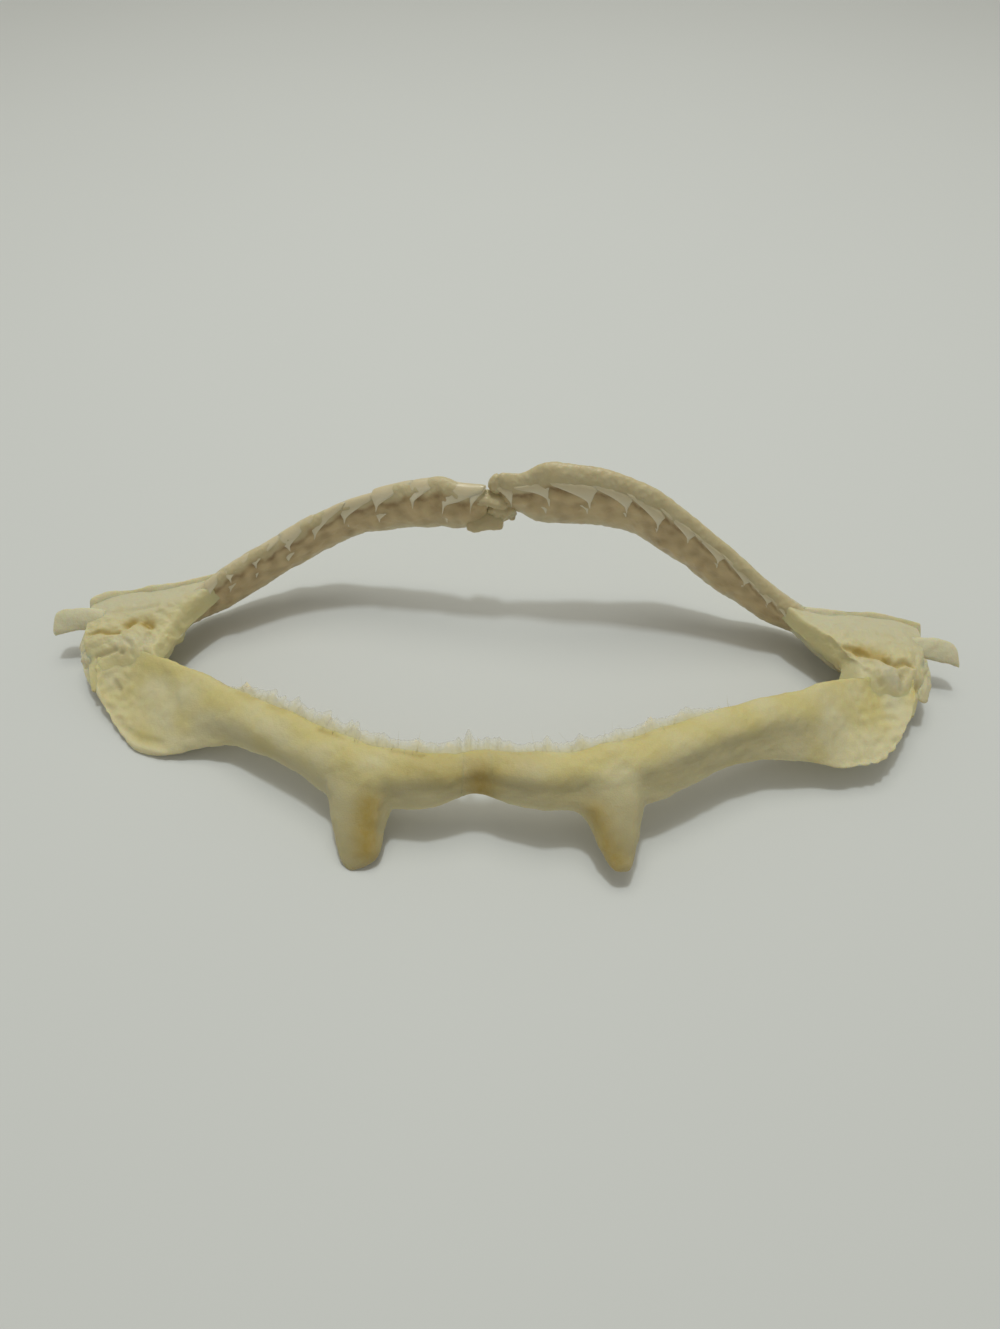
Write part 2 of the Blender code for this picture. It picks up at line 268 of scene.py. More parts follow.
@dataclass
class Shell:
    """Closed surfaces of one pattern: items x rings x points round, every ring closed.

    Attributes:
        grid: Points, items x rings x round x 3, mm on the bench; a single item may be given
            without the first dimension.
        values: Numbers, or vectors with one more dimension, that broadcast to the points.
    """

    grid: Array
    values: dict[str, Array | float]

    def __post_init__(self) -> None:
        """Give a single item its first dimension."""
        if self.grid.ndim == 3:
            self.grid = self.grid[None]

    def points(self) -> Array:
        """All points, then each item's two poles, which are the middles of its end rings."""
        poles = self.grid[:, (0, -1)].mean(axis=2)
        return np.concatenate((self.grid.reshape(-1, 3), poles.reshape(-1, 3)))

    def value(self, name: str, width: int) -> Array:
        """One value for each of points(), nought where the shell has no such value.

        Args:
            name: The value's name.
            width: 1 for a number and 3 for a vector.

        Returns:
            The values, points x width.
        """
        whole = np.zeros((*self.grid.shape[:3], width))
        given = np.asarray(self.values.get(name, 0.0))
        whole += given[..., None] if width == 1 else given
        poles = whole[:, (0, -1)].mean(axis=2)
        return np.concatenate((whole.reshape(-1, width), poles.reshape(-1, width)))

    def faces(self, first: int) -> tuple[Array, Array]:
        """Quads between neighbouring rings and triangles from the end rings to the poles. An item
        whose signed volume comes out negative has its faces turned round.

        Args:
            first: Number of the shell's first point in the mesh.

        Returns:
            The quads and the triangles as rows of point numbers.
        """
        items, rings, around = self.grid.shape[:3]
        number = np.arange(items * rings * around).reshape(items, rings, around)
        beside = np.roll(number, -1, axis=2)
        quads = np.stack((number[:, :-1], beside[:, :-1], beside[:, 1:], number[:, 1:]), axis=-1)
        quads = quads.reshape(items, -1, 4)
        poles = items * rings * around + np.arange(items * 2).reshape(items, 2, 1)
        poles = np.broadcast_to(poles, (items, 2, around))
        near = np.stack((number[:, 0], poles[:, 0], beside[:, 0]), axis=-1)
        far = np.stack((number[:, -1], beside[:, -1], poles[:, 1]), axis=-1)
        tris = np.concatenate((near, far), axis=1)
        flat = self.grid.reshape(-1, 3)
        corners = flat[quads] - flat[quads[:, :1, :1]]
        across = np.cross(corners[:, :, 1] - corners[:, :, 3], corners[:, :, 2])
        volume = (corners[:, :, 0] * across).sum(axis=(1, 2))
        turned = (volume < 0)[:, None, None]
        quads = np.where(turned, quads[..., ::-1], quads).reshape(-1, 4)
        tris = np.where(turned, tris[..., ::-1], tris).reshape(-1, 3)
        return quads + first, tris + first


def outward(grid: Array) -> Array:
    """Normals of one closed sweep: the cross product of the steps round and along it, turned
    away from the middle of each ring.

    Args:
        grid: Points, rings x round x 3.

    Returns:
        Unit normals of the same shape.
    """
    around = np.roll(grid, -1, axis=1) - np.roll(grid, 1, axis=1)
    along = np.gradient(grid, axis=0)
    normals = unit(np.cross(around, along))
    inward = ((grid - grid.mean(axis=1, keepdims=True)) * normals).sum(axis=-1).mean() < 0
    return -normals if inward else normals


def on_table(grid: Array) -> Array:
    """The grid with what would reach below the table pressed flat against it."""
    return np.maximum(grid, (-np.inf, -np.inf, 0.0))


def lifted(grid: Array, height: Array) -> Array:
    """A closed sweep moved outwards by a height at each point, none of it below the table."""
    return on_table(grid + height[..., None] * outward(grid))


# What every mesh holds for each point: the value's width, its type and its name in Blender
# Two of these numbers are painted shade: hollow, in crevices, grooves and shadow lines, and the one for legs
# and sunk folds. pale is bleached colour, and painted light on a few marks.
NUMBERS = ("warm", "ochre", "hollow", "pale", "dusk", "tip")
ATTRIBUTES = {**{name: (1, "FLOAT", "value") for name in NUMBERS},
              "straight": (3, "FLOAT_VECTOR", "vector")}


def make_piece(name: str, shells: Sequence[Shell], finish: bpy.types.Material,
               stands_for: Sequence[str]) -> None:
    """Write shells into one mesh object at the origin, give it its body and hide the CAD nodes it stands for.

    Args:
        name: The piece's name.
        shells: Its closed surfaces.
        finish: Its material.
        stands_for: CAD nodes that it replaces.
    """
    points, quads, tris, first = [], [], [], 0
    for shell in shells:
        placed = shell.points()
        four, three = shell.faces(first)
        points.append(placed)
        quads.append(four)
        tris.append(three)
        first += len(placed)
    places = (np.concatenate(points) + BENCH_TO_FRAME) * MM
    mesh = bpy.data.meshes.new(name)
    faces = np.concatenate(quads).tolist() + np.concatenate(tris).tolist()
    mesh.from_pydata(places.tolist(), [], faces)
    for value, (width, kind, part) in ATTRIBUTES.items():
        numbers = np.concatenate([shell.value(value, width) for shell in shells])
        mesh.attributes.new(value, kind, "POINT").data.foreach_set(part, numbers.ravel())
    mesh.shade_smooth()
    mesh.materials.append(finish)
    piece = bpy.data.objects.new(name, mesh)
    bpy.context.scene.collection.objects.link(piece)
    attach(piece, BODY)
    if stands_for:
        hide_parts(*stands_for)
    LOG.info("%s: %d faces", name, len(faces))


@dataclass(frozen=True)
class Section:
    """One cross-section of a bar: rim and foot points, thickness and dishing, mm."""

    rim: Point
    foot: Point
    thick: float
    dish: float = 0.0


@dataclass(frozen=True)
class Leg:
    """The process that grows from the foot of an upper bar.

    Attributes:
        middle: Section number at its middle.
        inner: Half width towards the symphysis, in section numbers.
        outer: Half width towards the lobe, in section numbers.
        bluntness: Power that squares the tip off on its inner and its outer side.
        slant: How much further the tip reaches on its outer side.
        reach: From the foot of the bar to the tip, mm.
    """

    middle: float
    inner: float
    outer: float
    bluntness: tuple[float, float]
    slant: float
    reach: Point

    def swell(self, numbers: Array) -> tuple[Array, Array]:
        """How far the leg is grown: e to minus a power of the offset over the half width, each
        side its own.

        Args:
            numbers: Section numbers.

        Returns:
            The growth, from 0 to 1, and the factor by which the slanted tip reaches further.
        """
        offset = numbers - self.middle
        offset = offset / np.where(offset < 0, self.inner, self.outer)
        power = np.where(offset < 0, *self.bluntness)
        return np.exp(-np.abs(offset)**power), 1 + self.slant * np.clip(offset, -1, 1)


class Stance(NamedTuple):
    """How a bar lies at each of some section numbers, mm: the middle of the section, the way from
    foot to rim, the way that the front face looks, half the height and thickness, and the dish."""

    middle: Array
    axis: Array
    front: Array
    half_height: Array
    half_thick: Array
    dish: Array


@dataclass
class Bar:
    """A bar swept through its sections.

    Attributes:
        sections: From the symphysis outwards.
        side: Which way the front face lies.
        leg: The process at its foot, if it has one.
        rounding: Length of each rounded end, mm.
    """

    sections: tuple[Section, ...]
    side: Side
    leg: Leg | None = None
    rounding: float = 1.2

    def __post_init__(self) -> None:
        """Tabulate the sections and the distance along the rim."""
        self.rim = np.array([section.rim for section in self.sections])
        self.foot = np.array([section.foot for section in self.sections])
        self.form = np.array([(section.thick, section.dish) for section in self.sections])
        self.fine = np.linspace(0, len(self.sections) - 1, 800)
        steps = np.linalg.norm(np.diff(smooth_curve(self.rim, self.fine), axis=0), axis=1)
        self.travel = np.concatenate(([0.0], np.cumsum(steps)))

    @property
    def length(self) -> float:
        """Length along the rim, mm."""
        return float(self.travel[-1])

    def numbers_at(self, distance: Array) -> Array:
        """Section numbers at distances along the rim."""
        return np.interp(distance, self.travel, self.fine)

    def distance_at(self, numbers: Array) -> Array:
        """Distances along the rim at section numbers."""
        return np.interp(numbers, self.fine, self.travel)

    def stance(self, numbers: Array) -> Stance:
        """How the bar lies. Its front normal is the cross product of the way along it and the way
        from foot to rim, and turns into the plane between both halves over the first section.

        Args:
            numbers: Section numbers, in one dimension.

        Returns:
            Its place and size at each of them.
        """
        rim = smooth_curve(self.rim, numbers)
        foot = smooth_curve(self.foot, numbers)
        thick, dish = smooth_curve(self.form, numbers).T
        step = 0.02
        ahead = smooth_curve(self.rim, numbers + step) + smooth_curve(self.foot, numbers + step)
        behind = smooth_curve(self.rim, numbers - step) + smooth_curve(self.foot, numbers - step)
        height = np.linalg.norm(rim - foot, axis=1)
        axis = (rim - foot) / height[:, None]
        front = self.side.value * np.cross(ahead - behind, axis)
        front[:, 0] *= np.clip(numbers, 0, 1)
        return Stance((rim + foot) / 2, axis, unit(front), height / 2, thick / 2, dish)

    def surface(self, numbers: Array, angles: Array, lift: Array | float = 0.0) -> Array:
        """Surface points: an ellipse of half height and half thickness about the middle, bent
        back by the dish, with the leg's bell added to its foot half.

        Args:
            numbers: Section numbers, any shape.
            angles: Ring angles, of a shape that broadcasts with the numbers.
            lift: Distance outwards from the ellipse, mm, likewise.

        Returns:
            Points, one more dimension than the arguments.
        """
        numbers, angles, lift = np.broadcast_arrays(numbers, angles, lift)
        shape = numbers.shape
        flat = numbers.ravel().astype(float)
        middle, axis, front, half_height, half_thick, dish = self.stance(flat)
        along, across = np.cos(angles.ravel()), np.sin(angles.ravel())
        rimward = along * (half_height + lift.ravel())
        out = across * (half_thick + lift.ravel()) - dish * (1 - along**2)
        points = middle + rimward[:, None] * axis + out[:, None] * front
        if self.leg:
            swell, tilt = self.leg.swell(flat)
            root = np.clip((-along - 0.25) / 0.75, 0, 1)**1.3
            points = points + (swell * tilt * root)[:, None] * np.array(self.leg.reach)
        return points.reshape(*shape, 3)

    def angle_at(self, numbers: Array, drop: Array) -> Array:
        """Ring angle of the front face at a drop below the rim: the angle whose cosine is one
        minus the drop over the half height. A drop below nought is as far down the back face.

        Args:
            numbers: Section numbers, any shape.
            drop: Drops below the rim, mm, of a shape that broadcasts with the numbers.

        Returns:
            The angles, radians.
        """
        numbers, drop = np.broadcast_arrays(numbers, drop)
        half_height = self.stance(numbers.ravel().astype(float)).half_height.reshape(numbers.shape)
        return np.sign(drop) * np.arccos(np.clip(1 - np.abs(drop) / half_height, -1, 1))

    def even_numbers(self, rows: int) -> Array:
        """Section numbers an even way apart on the longest of four lines along the bar, with the
        rounded ends' own rows added.

        Args:
            rows: How many even rows.

        Returns:
            The section numbers, in order.
        """
        lines = self.surface(self.fine[:, None], round_angles(4))
        steps = np.linalg.norm(np.diff(lines, axis=0), axis=-1).max(axis=1)
        way = np.concatenate(([0.0], np.cumsum(steps)))
        close = self.rounding * (1 - np.cos(np.linspace(0, math.pi / 2, 7)))[:-1]
        places = np.concatenate((close, np.linspace(self.rounding, way[-1] - self.rounding, rows),
                                 way[-1] - close[::-1]))
        return np.interp(places, way, self.fine)

    def body(self, rows: int, columns: int) -> tuple[Array, Array, Array]:
        """The whole bar as rings that close at both ends by a quarter circle.

        Args:
            rows: Rings along it.
            columns: Points round a ring.

        Returns:
            Points (rings x round x 3), section numbers (rings x 1) and angles (1 x round).
        """
        numbers = self.even_numbers(rows)[:, None]
        angles = round_angles(columns)
        grid = self.surface(numbers, angles)
        distance = self.distance_at(numbers[:, 0])
        near = np.minimum(distance, self.length - distance)
        closing = np.maximum(quarter_circle(near / self.rounding), 0.02)
        middle = self.stance(numbers[:, 0]).middle[:, None]
        return middle + (grid - middle) * closing[:, None, None], numbers, angles

    def straightened(self, numbers: Array, angles: Array) -> Array:
        """Where each point would be if the bar lay straight.

        Args:
            numbers: Section numbers, rings x 1.
            angles: Ring angles, 1 x round.

        Returns:
            Distance along the bar, then the two coordinates of its ellipse, mm.
        """
        here = self.stance(numbers[:, 0])
        return points_at(self.distance_at(numbers), here.half_height[:, None] * np.cos(angles),
                         here.half_thick[:, None] * np.sin(angles))


@dataclass
class Bridge:
    """A ring surface that runs on from one bar to another, with the slope of each: a cubic from a
    ring of the one to a ring of the other. Both its ends dive into the bars.

    Attributes:
        first: Bar that it starts on.
        second: Bar that it ends on.
        overlap: How far its ends lie from the bars' ends, mm.
        dive: Share of its length over which an end dives into its bar.
        shrink: By how much of its size an end has shrunk there.
        straight_form: Length, half height and half thickness if it lay straight, mm.
        leg: None, because it has no process.
    """

    first: Bar
    second: Bar
    overlap: float
    dive: float = 0.16
    shrink: float = 0.035
    straight_form: Point = (8.0, 5.3, 4.0)
    leg: Leg | None = None

    def body(self, rows: int, columns: int) -> tuple[Array, Array, Array]:
        """The whole bridge as rings.

        Args:
            rows: Rings along it.
            columns: Points round a ring.

        Returns:
            Points (rings x round x 3), noughts (rings x 1) and angles (1 x round).
        """
        angles = round_angles(columns)
        step = 0.5
        distance = np.array((self.overlap, self.overlap - step))[:, None]
        here, here_on = self.first.surface(self.first.numbers_at(distance), angles)
        there, there_back = self.second.surface(self.second.numbers_at(distance), angles)
        span = np.linalg.norm(here.mean(axis=0) - there.mean(axis=0)) / step
        part = np.linspace(0, 1, rows)[:, None, None]
        grid = cubic(part, here, (here_on - here) * span, there, (there - there_back) * span)
        middle = grid.mean(axis=1, keepdims=True)
        size = 1 - self.shrink * (1 - plateau(part, 0.0, self.dive, 1 - self.dive, 1.0))
        return middle + (grid - middle) * size, np.zeros((rows, 1)), angles

    def straightened(self, numbers: Array, angles: Array) -> Array:
        """Where each point would be if the bridge lay straight.

        Args:
            numbers: Rings x 1; only their count is used.
            angles: Ring angles, 1 x round.

        Returns:
            Distance along the bridge, then the two coordinates of its ellipse, mm.
        """
        length, half_height, half_thick = self.straight_form
        way = np.linspace(0, length, len(numbers))[:, None]
        return points_at(way, half_height * np.cos(angles), half_thick * np.sin(angles))


UPPER_LEFT = (
    Section((-7.3, -34.0, 20.0), (-7.3, -41.5, 12.5), 8.0),
    Section((-15.5, -34.5, 21.0), (-15.5, -44.5, 11.0), 9.5),
    Section((-28.5, -33.0, 21.0), (-29.0, -44.5, 9.5), 10.0),
    Section((-41.0, -28.0, 20.5), (-42.5, -41.0, 8.5), 10.5),
    Section((-54.0, -21.5, 19.5), (-54.5, -32.0, 8.0), 10.0),
    Section((-69.0, -13.0, 17.5), (-69.0, -24.5, 7.5), 9.0),
    Section((-84.0, -4.5, 16.0), (-82.5, -22.0, 4.5), 7.5, 0.5),
    Section((-96.5, 2.5, 14.5), (-93.5, -22.5, 1.8), 5.5, 2.0),
    Section((-108.0, 7.5, 13.5), (-104.0, -19.5, 0.8), 4.0, 3.0),
    Section((-116.0, 9.0, 12.0), (-114.0, -9.5, 3.5), 3.6, 2.0),
    Section((-120.0, 6.5, 10.5), (-118.5, -2.0, 7.0), 3.0),
)
UPPER_RIGHT = (
    Section((-4.0, -34.0, 20.5), (-4.0, -42.0, 12.5), 8.0),
    Section((5.0, -35.0, 21.5), (5.0, -45.0, 12.5), 9.5),
    Section((15.5, -35.0, 22.0), (15.5, -46.5, 12.5), 10.0),
    Section((28.5, -32.5, 22.5), (29.0, -46.0, 11.5), 10.5),
    Section((41.0, -28.0, 22.5), (41.5, -43.0, 12.0), 10.5),
    Section((56.0, -22.0, 22.0), (55.5, -36.0, 12.0), 10.0),
    Section((70.5, -16.5, 20.5), (70.0, -30.5, 11.0), 9.0),
    Section((83.0, -12.0, 18.5), (81.0, -29.5, 10.0), 7.5, 0.5),
    Section((95.5, -7.5, 17.5), (92.5, -31.0, 8.0), 5.5, 2.0),
    Section((107.0, -5.0, 16.0), (104.5, -28.5, 8.5), 4.0, 3.0),
    Section((115.0, -4.0, 15.0), (113.0, -19.0, 10.5), 3.6, 2.0),
    Section((118.0, -6.0, 14.0), (117.0, -12.0, 12.5), 3.0),
)
LOWER_LEFT = (
    Section((-3.9, 42.8, 44.5), (-4.0, 44.3, 31.8), 5.0),
    Section((-11.9, 44.3, 43.8), (-12.4, 44.2, 29.5), 6.0),
    Section((-20.9, 46.0, 44.5), (-21.6, 46.9, 28.2), 6.5),
    Section((-45.7, 45.4, 37.8), (-48.2, 50.2, 20.6), 6.5),
    Section((-61.7, 42.0, 30.3), (-65.5, 47.1, 12.9), 6.5),
    Section((-73.6, 36.8, 25.7), (-79.7, 41.0, 7.0), 6.5),
    Section((-84.3, 31.2, 22.0), (-90.3, 34.8, 4.2), 6.5),
    Section((-93.7, 26.4, 17.3), (-99.2, 29.0, 3.0), 6.0),
    Section((-103.4, 19.8, 14.4), (-107.4, 19.8, 3.6), 5.0),
    Section((-107.6, 16.6, 13.2), (-110.6, 15.6, 5.0), 4.0),
)
LOWER_RIGHT = (
    Section((-1.5, 43.4, 49.4), (-0.9, 45.5, 38.0), 5.0),
    Section((5.5, 43.7, 49.2), (5.8, 45.1, 34.5), 6.0),
    Section((13.9, 43.4, 52.1), (13.5, 44.0, 31.5), 6.5),
    Section((28.5, 41.9, 51.4), (30.4, 43.8, 30.5), 7.0),
    Section((40.1, 39.3, 48.6), (43.4, 43.5, 27.5), 7.0),
    Section((52.1, 35.8, 42.5), (56.7, 40.4, 19.5), 7.0),
    Section((65.3, 31.0, 34.0), (70.5, 34.3, 11.0), 6.5),
    Section((78.2, 25.2, 24.5), (84.1, 29.0, 5.5), 6.5),
    Section((90.8, 20.6, 16.0), (96.2, 23.6, 3.6), 6.0),
    Section((104.0, 15.0, 12.0), (108.2, 15.2, 3.8), 5.0),
    Section((108.4, 13.0, 11.4), (112.0, 13.0, 4.6), 4.0),
)
WING_LEFT = (
    Section((-79.7, 34.5, 21.7), (-81.0, 36.5, 14.0), 3.5),
    Section((-91.0, 33.5, 18.1), (-93.0, 32.5, 5.0), 3.4),
    Section((-101.0, 31.0, 17.5), (-102.0, 22.0, 2.0), 3.0),
    Section((-112.0, 30.5, 15.5), (-112.0, 22.0, -3.0), 2.6),
    Section((-122.0, 30.5, 13.5), (-121.5, 22.0, -3.0), 2.4),
    Section((-128.5, 28.5, 11.5), (-127.0, 24.0, 2.0), 2.0),
)
WING_RIGHT = (
    Section((78.6, 24.5, 23.1), (80.8, 27.0, 14.0), 3.5),
    Section((89.5, 22.5, 16.4), (92.0, 21.5, 5.0), 3.4),
    Section((99.0, 19.5, 17.5), (101.5, 10.0, 2.0), 3.0),
    Section((110.0, 20.0, 16.0), (111.0, 11.0, -3.0), 2.6),
    Section((122.0, 20.0, 13.5), (122.0, 10.5, -3.0), 2.4),
    Section((129.0, 18.5, 12.0), (128.5, 12.5, 2.0), 2.0),
)
STUB_LEFT = (
    Section((-120.5, 22.0, 14.0), (-120.5, 18.0, 10.5), 2.6),
    Section((-130.0, 22.5, 14.5), (-130.0, 17.5, 10.0), 2.2),
    Section((-135.0, 22.0, 14.0), (-135.0, 17.0, 9.0), 1.8),
    Section((-136.3, 20.0, 12.0), (-136.5, 17.0, 8.5), 1.4),
)
STUB_RIGHT = (
    Section((119.5, 11.5, 14.0), (119.5, 7.0, 10.5), 2.6),
    Section((128.0, 11.0, 14.0), (128.0, 6.0, 10.0), 2.4),
    Section((134.0, 9.5, 13.5), (135.0, 4.5, 9.0), 2.0),
    Section((136.0, 7.5, 12.0), (136.5, 4.0, 8.5), 1.4),
)
LEG_LEFT = Leg(2.50, 0.46, 0.56, (6.0, 5.0), 0.24, (0.3, -13.0, -8.1))
LEG_RIGHT = Leg(3.14, 0.56, 0.36, (3.0, 3.6), 0.05, (0.2, -14.2, -6.2))

FIBRE_STRETCH = np.array((0.10, 1.0, 1.0))      # shortens the straight bar, so fibres run along it


@dataclass(frozen=True)
class Fold:
    """A ridge or hollow that runs along a bar, a bell across its ring.

    Attributes:
        angle: Ring angle of its middle, degrees.
        width: Angle from there at which it has faded to a third, degrees.
        height: How far it stands out, mm; below 0 it is sunk.
        end: Section number by which it has run out.
    """

    angle: float
    width: float
    height: float
    end: float

    def at(self, numbers: Array, angles: Array) -> Array:
        """Height at section numbers and ring angles."""
        across = bump(np.degrees(angles), self.angle, self.width)
        return self.height * across * (1 - ramp(numbers, self.end - 1.5, self.end))


def marked(grid: Array, marks: Sequence[Mark], values: dict[str, Array | float]) -> Array:
    """Add marks to a surface's values and give the height that they raise it by.

    Args:
        grid: Points of the surface.
        marks: The marks on it.
        values: Hollow, ochre and pale values of the points, changed in place.

    Returns:
        Height for each point, mm.
    """
    height = np.zeros(grid.shape[:-1])
    for mark in marks:
        near = mark.nearness(grid)
        height += mark.height * near
        for name, share in (("hollow", mark.hollow), ("ochre", mark.ochre), ("pale", mark.pale)):
            values[name] = np.clip(values.get(name, 0.0) + share * near, 0, 1)
    return height


CORNER_LUMPS = (7.4, 9.0)                       # section numbers over which a bar grows lumpy


def cartilage(bar: Bar | Bridge, marks: Sequence[Mark], rows: int, columns: int, seed: int,
              pale: float = 0.0, folds: Sequence[Fold] = ()) -> Shell:
    """The dried cartilage of a bar: its body lifted by lumps, folds and marks. It is warmest in
    colour at the rim, and has painted shade on its leg and in the hollows of its folds.

    Args:
        bar: Its form.
        marks: Pits, ridges and stains on it.
        rows: Rings along it.
        columns: Points round a ring.
        seed: Makes its lumps its own.
        pale: How bleached and thin it looks all over, from 0 to 1.
        folds: Ridges and hollows along it, which fade out under the leg.

    Returns:
        The closed surface.
    """
    grid, numbers, angles = bar.body(rows, columns)
    values: dict[str, Array | float] = {"pale": pale}
    lift = bone_relief(grid) + marked(grid, marks, values)
    lift += Ripple(3.4, 0.13, seed).at(grid) * ramp(numbers, *CORNER_LUMPS)
    rimward = np.cos(angles)
    warm = 0.45 + 0.4 * rimward + Ripple(14.0, 0.22, seed).at(grid)
    values["warm"] = np.clip(warm * (1 - 0.8 * pale), 0, 1)
    # Painted shade: the foot half of the leg and the sunk part of each fold are darkened as if turned away
    # from the lamp.
    grown = bar.leg.swell(numbers)[0] if bar.leg else np.zeros(numbers.shape)
    values["dusk"] = grown * ramp(-rimward, -0.2, 0.75)
    for fold in folds:
        height = fold.at(numbers, angles) * (1 - grown)
        lift += height
        values["dusk"] += np.clip(-height, 0, 1)
    values["straight"] = bar.straightened(numbers, angles)
    return Shell(lifted(grid, lift), values)


@dataclass(frozen=True)
class ToothForm:
    """Outline of one kind of tooth: a root plate, a shoulder on each side and a cusp.

    Attributes:
        root: Share of the length that is root plate, as wide as the tooth's place.
        shoulder: Share of the length at which the shoulders have run out into the cusp.
        hollow: Power that hollows the shoulders.
        cusp: Share of the width that the cusp has at its foot.
        thickness: Half thickness of the root, mm.
        notches: Serrations along an edge, and 0 for a smooth one.
        slant: How far the tip leans along the jaw, in tooth lengths.
        lean: How far the cusp stands towards the corner, in half widths.
    """

    root: float
    shoulder: float
    hollow: float
    cusp: float
    thickness: float
    notches: int = 0
    slant: float = 0.0
    lean: float = 0.0

    def rings(self, widths: Array, lengths: Array, rows: int, columns: int) -> Sequence[Array]:
        """How far each tooth's outline points are across and out. The half width is the cusp's
        share times a power of the part that is left to the tip, plus the rest times the shoulder,
        which falls from 1 to 0 between root and shoulder to the power of its hollow. A ring is a
        superellipse, boxy at the root and round at the cusp, and flatter behind.

        Args:
            widths: Width of each tooth at its root, mm.
            lengths: Height of each tooth, mm.
            rows: Rings from root to tip.
            columns: Points round a ring.

        Returns:
            Distances across and out, each teeth x rings x round.
        """
        part = np.linspace(0, 1, rows)[None, :, None]
        turn = (np.arange(columns)[None, None, :] + 0.5) * FULL_TURN / columns
        width, length = widths[:, None, None] / 2, lengths[:, None, None]
        shoulder = np.clip((self.shoulder - part) / (self.shoulder - self.root), 0, 1)**self.hollow
        half = self.cusp * (1 - part)**0.75 + (1 - self.cusp) * shoulder
        half = half * (0.86 + 0.14 * ramp(part, 0.0, 0.12))
        if self.notches:
            half = half * (1 + 0.05 * np.abs((part * self.notches) % 1 * 2 - 1) * (1 - part))
        closing = quarter_circle(np.maximum(part / 0.14, 0.02))
        thick = self.thickness * (0.34 + 0.66 * (1 - part)**1.4) * (1 - part**8) * closing
        boxy = 0.5 + 0.5 * ramp(part, self.root, self.shoulder)
        side = np.sign(np.cos(turn)) * np.abs(np.cos(turn))**boxy
        out = np.sign(np.sin(turn)) * np.abs(np.sin(turn))**boxy
        out = np.where(out > 0, 1.0, 0.4) * out * thick
        middle = self.lean * ramp(part, 0.3 * self.root, self.shoulder)
        across = width * (half * side + middle) + self.slant * length * part**2
        return np.broadcast_arrays(across, out)


NARROW_TOOTH = ToothForm(0.30, 0.78, 1.45, 0.19, 0.80, slant=0.05, lean=0.72)
BROAD_TOOTH = ToothForm(0.12, 1.0, 1.1, 0.10, 0.7, notches=9, slant=0.18)
TOOTH_RINGS, TOOTH_COLUMNS = 26, 20              # rings from root to tip and points round each

TEETH_PER_SIDE = 12
LAST_WIDE_TOOTH = 7                             # counted from 0
WIDEST_TOOTH, NARROWEST_TOOTH = 10.4, 3.0       # mm


@dataclass(frozen=True)
class ToothFile:
    """Where the teeth of one half jaw stand: one file behind another, 12 files a side.

    Attributes:
        bar: The bar that carries them.
        first: Section number where the row starts.
        last: Section number where it ends.
        shift: How far every tooth is moved towards the symphysis, mm.
        shrink: Length of the sixth tooth as a share of the first.
    """

    bar: Bar
    first: float
    last: float
    shift: float = 0.0
    shrink: float = 0.9

    @property
    def span(self) -> tuple[float, float]:
        """Distances along the rim where the row starts and ends, mm."""
        start, end = self.bar.distance_at(np.array((self.first, self.last)))
        return float(start), float(end)

    @property
    def widths(self) -> Array:
        """Widths of the teeth: even for eight teeth and then shrinking to the corner.

        Returns:
            The widths, scaled to fill the row, mm.
        """
        start, end = self.span
        widths = np.interp(np.arange(TEETH_PER_SIDE), (LAST_WIDE_TOOTH, TEETH_PER_SIDE - 1),
                           (WIDEST_TOOTH, NARROWEST_TOOTH))
        return widths * (end - start + self.shift) / widths.sum()

    def scale(self, distance: Array) -> Array:
        """Length of the teeth at distances along the rim, as a share of the longest."""
        lengths = (1.0, 1.0, self.shrink, 0.6 * self.shrink)
        return np.interp(distance, self.middles[[0, 2, 5, -1]], lengths)

    @property
    def middles(self) -> Array:
        """Distance of each tooth's middle along the rim, mm."""
        widths = self.widths
        return self.span[0] - self.shift + np.cumsum(widths) - widths / 2

    def phase(self, distance: Array) -> Array:
        """Place within the tooth at a distance: whole numbers fall between teeth."""
        return np.interp(distance, self.middles, np.arange(TEETH_PER_SIDE) + 0.5)


@dataclass(frozen=True)
class ToothRow:
    """One row of teeth that lie against the face of the gum.

    Attributes:
        drop: From the rim to the bases, mm.
        length: From base to tip, mm.
        stagger: Shift along the jaw, in tooth widths.
        stand: How far the tips stand off the face, mm.
        widths: Width of the teeth as a share of their places.
        sunk: Height of the root's end over the face, mm; below 0 the gum covers it.
        bare: Share of the length by which the tooth has come out of the gum.
    """

    drop: float
    length: float
    stagger: float
    stand: float
    widths: float
    sunk: float = 0.1
    bare: float = 0.25


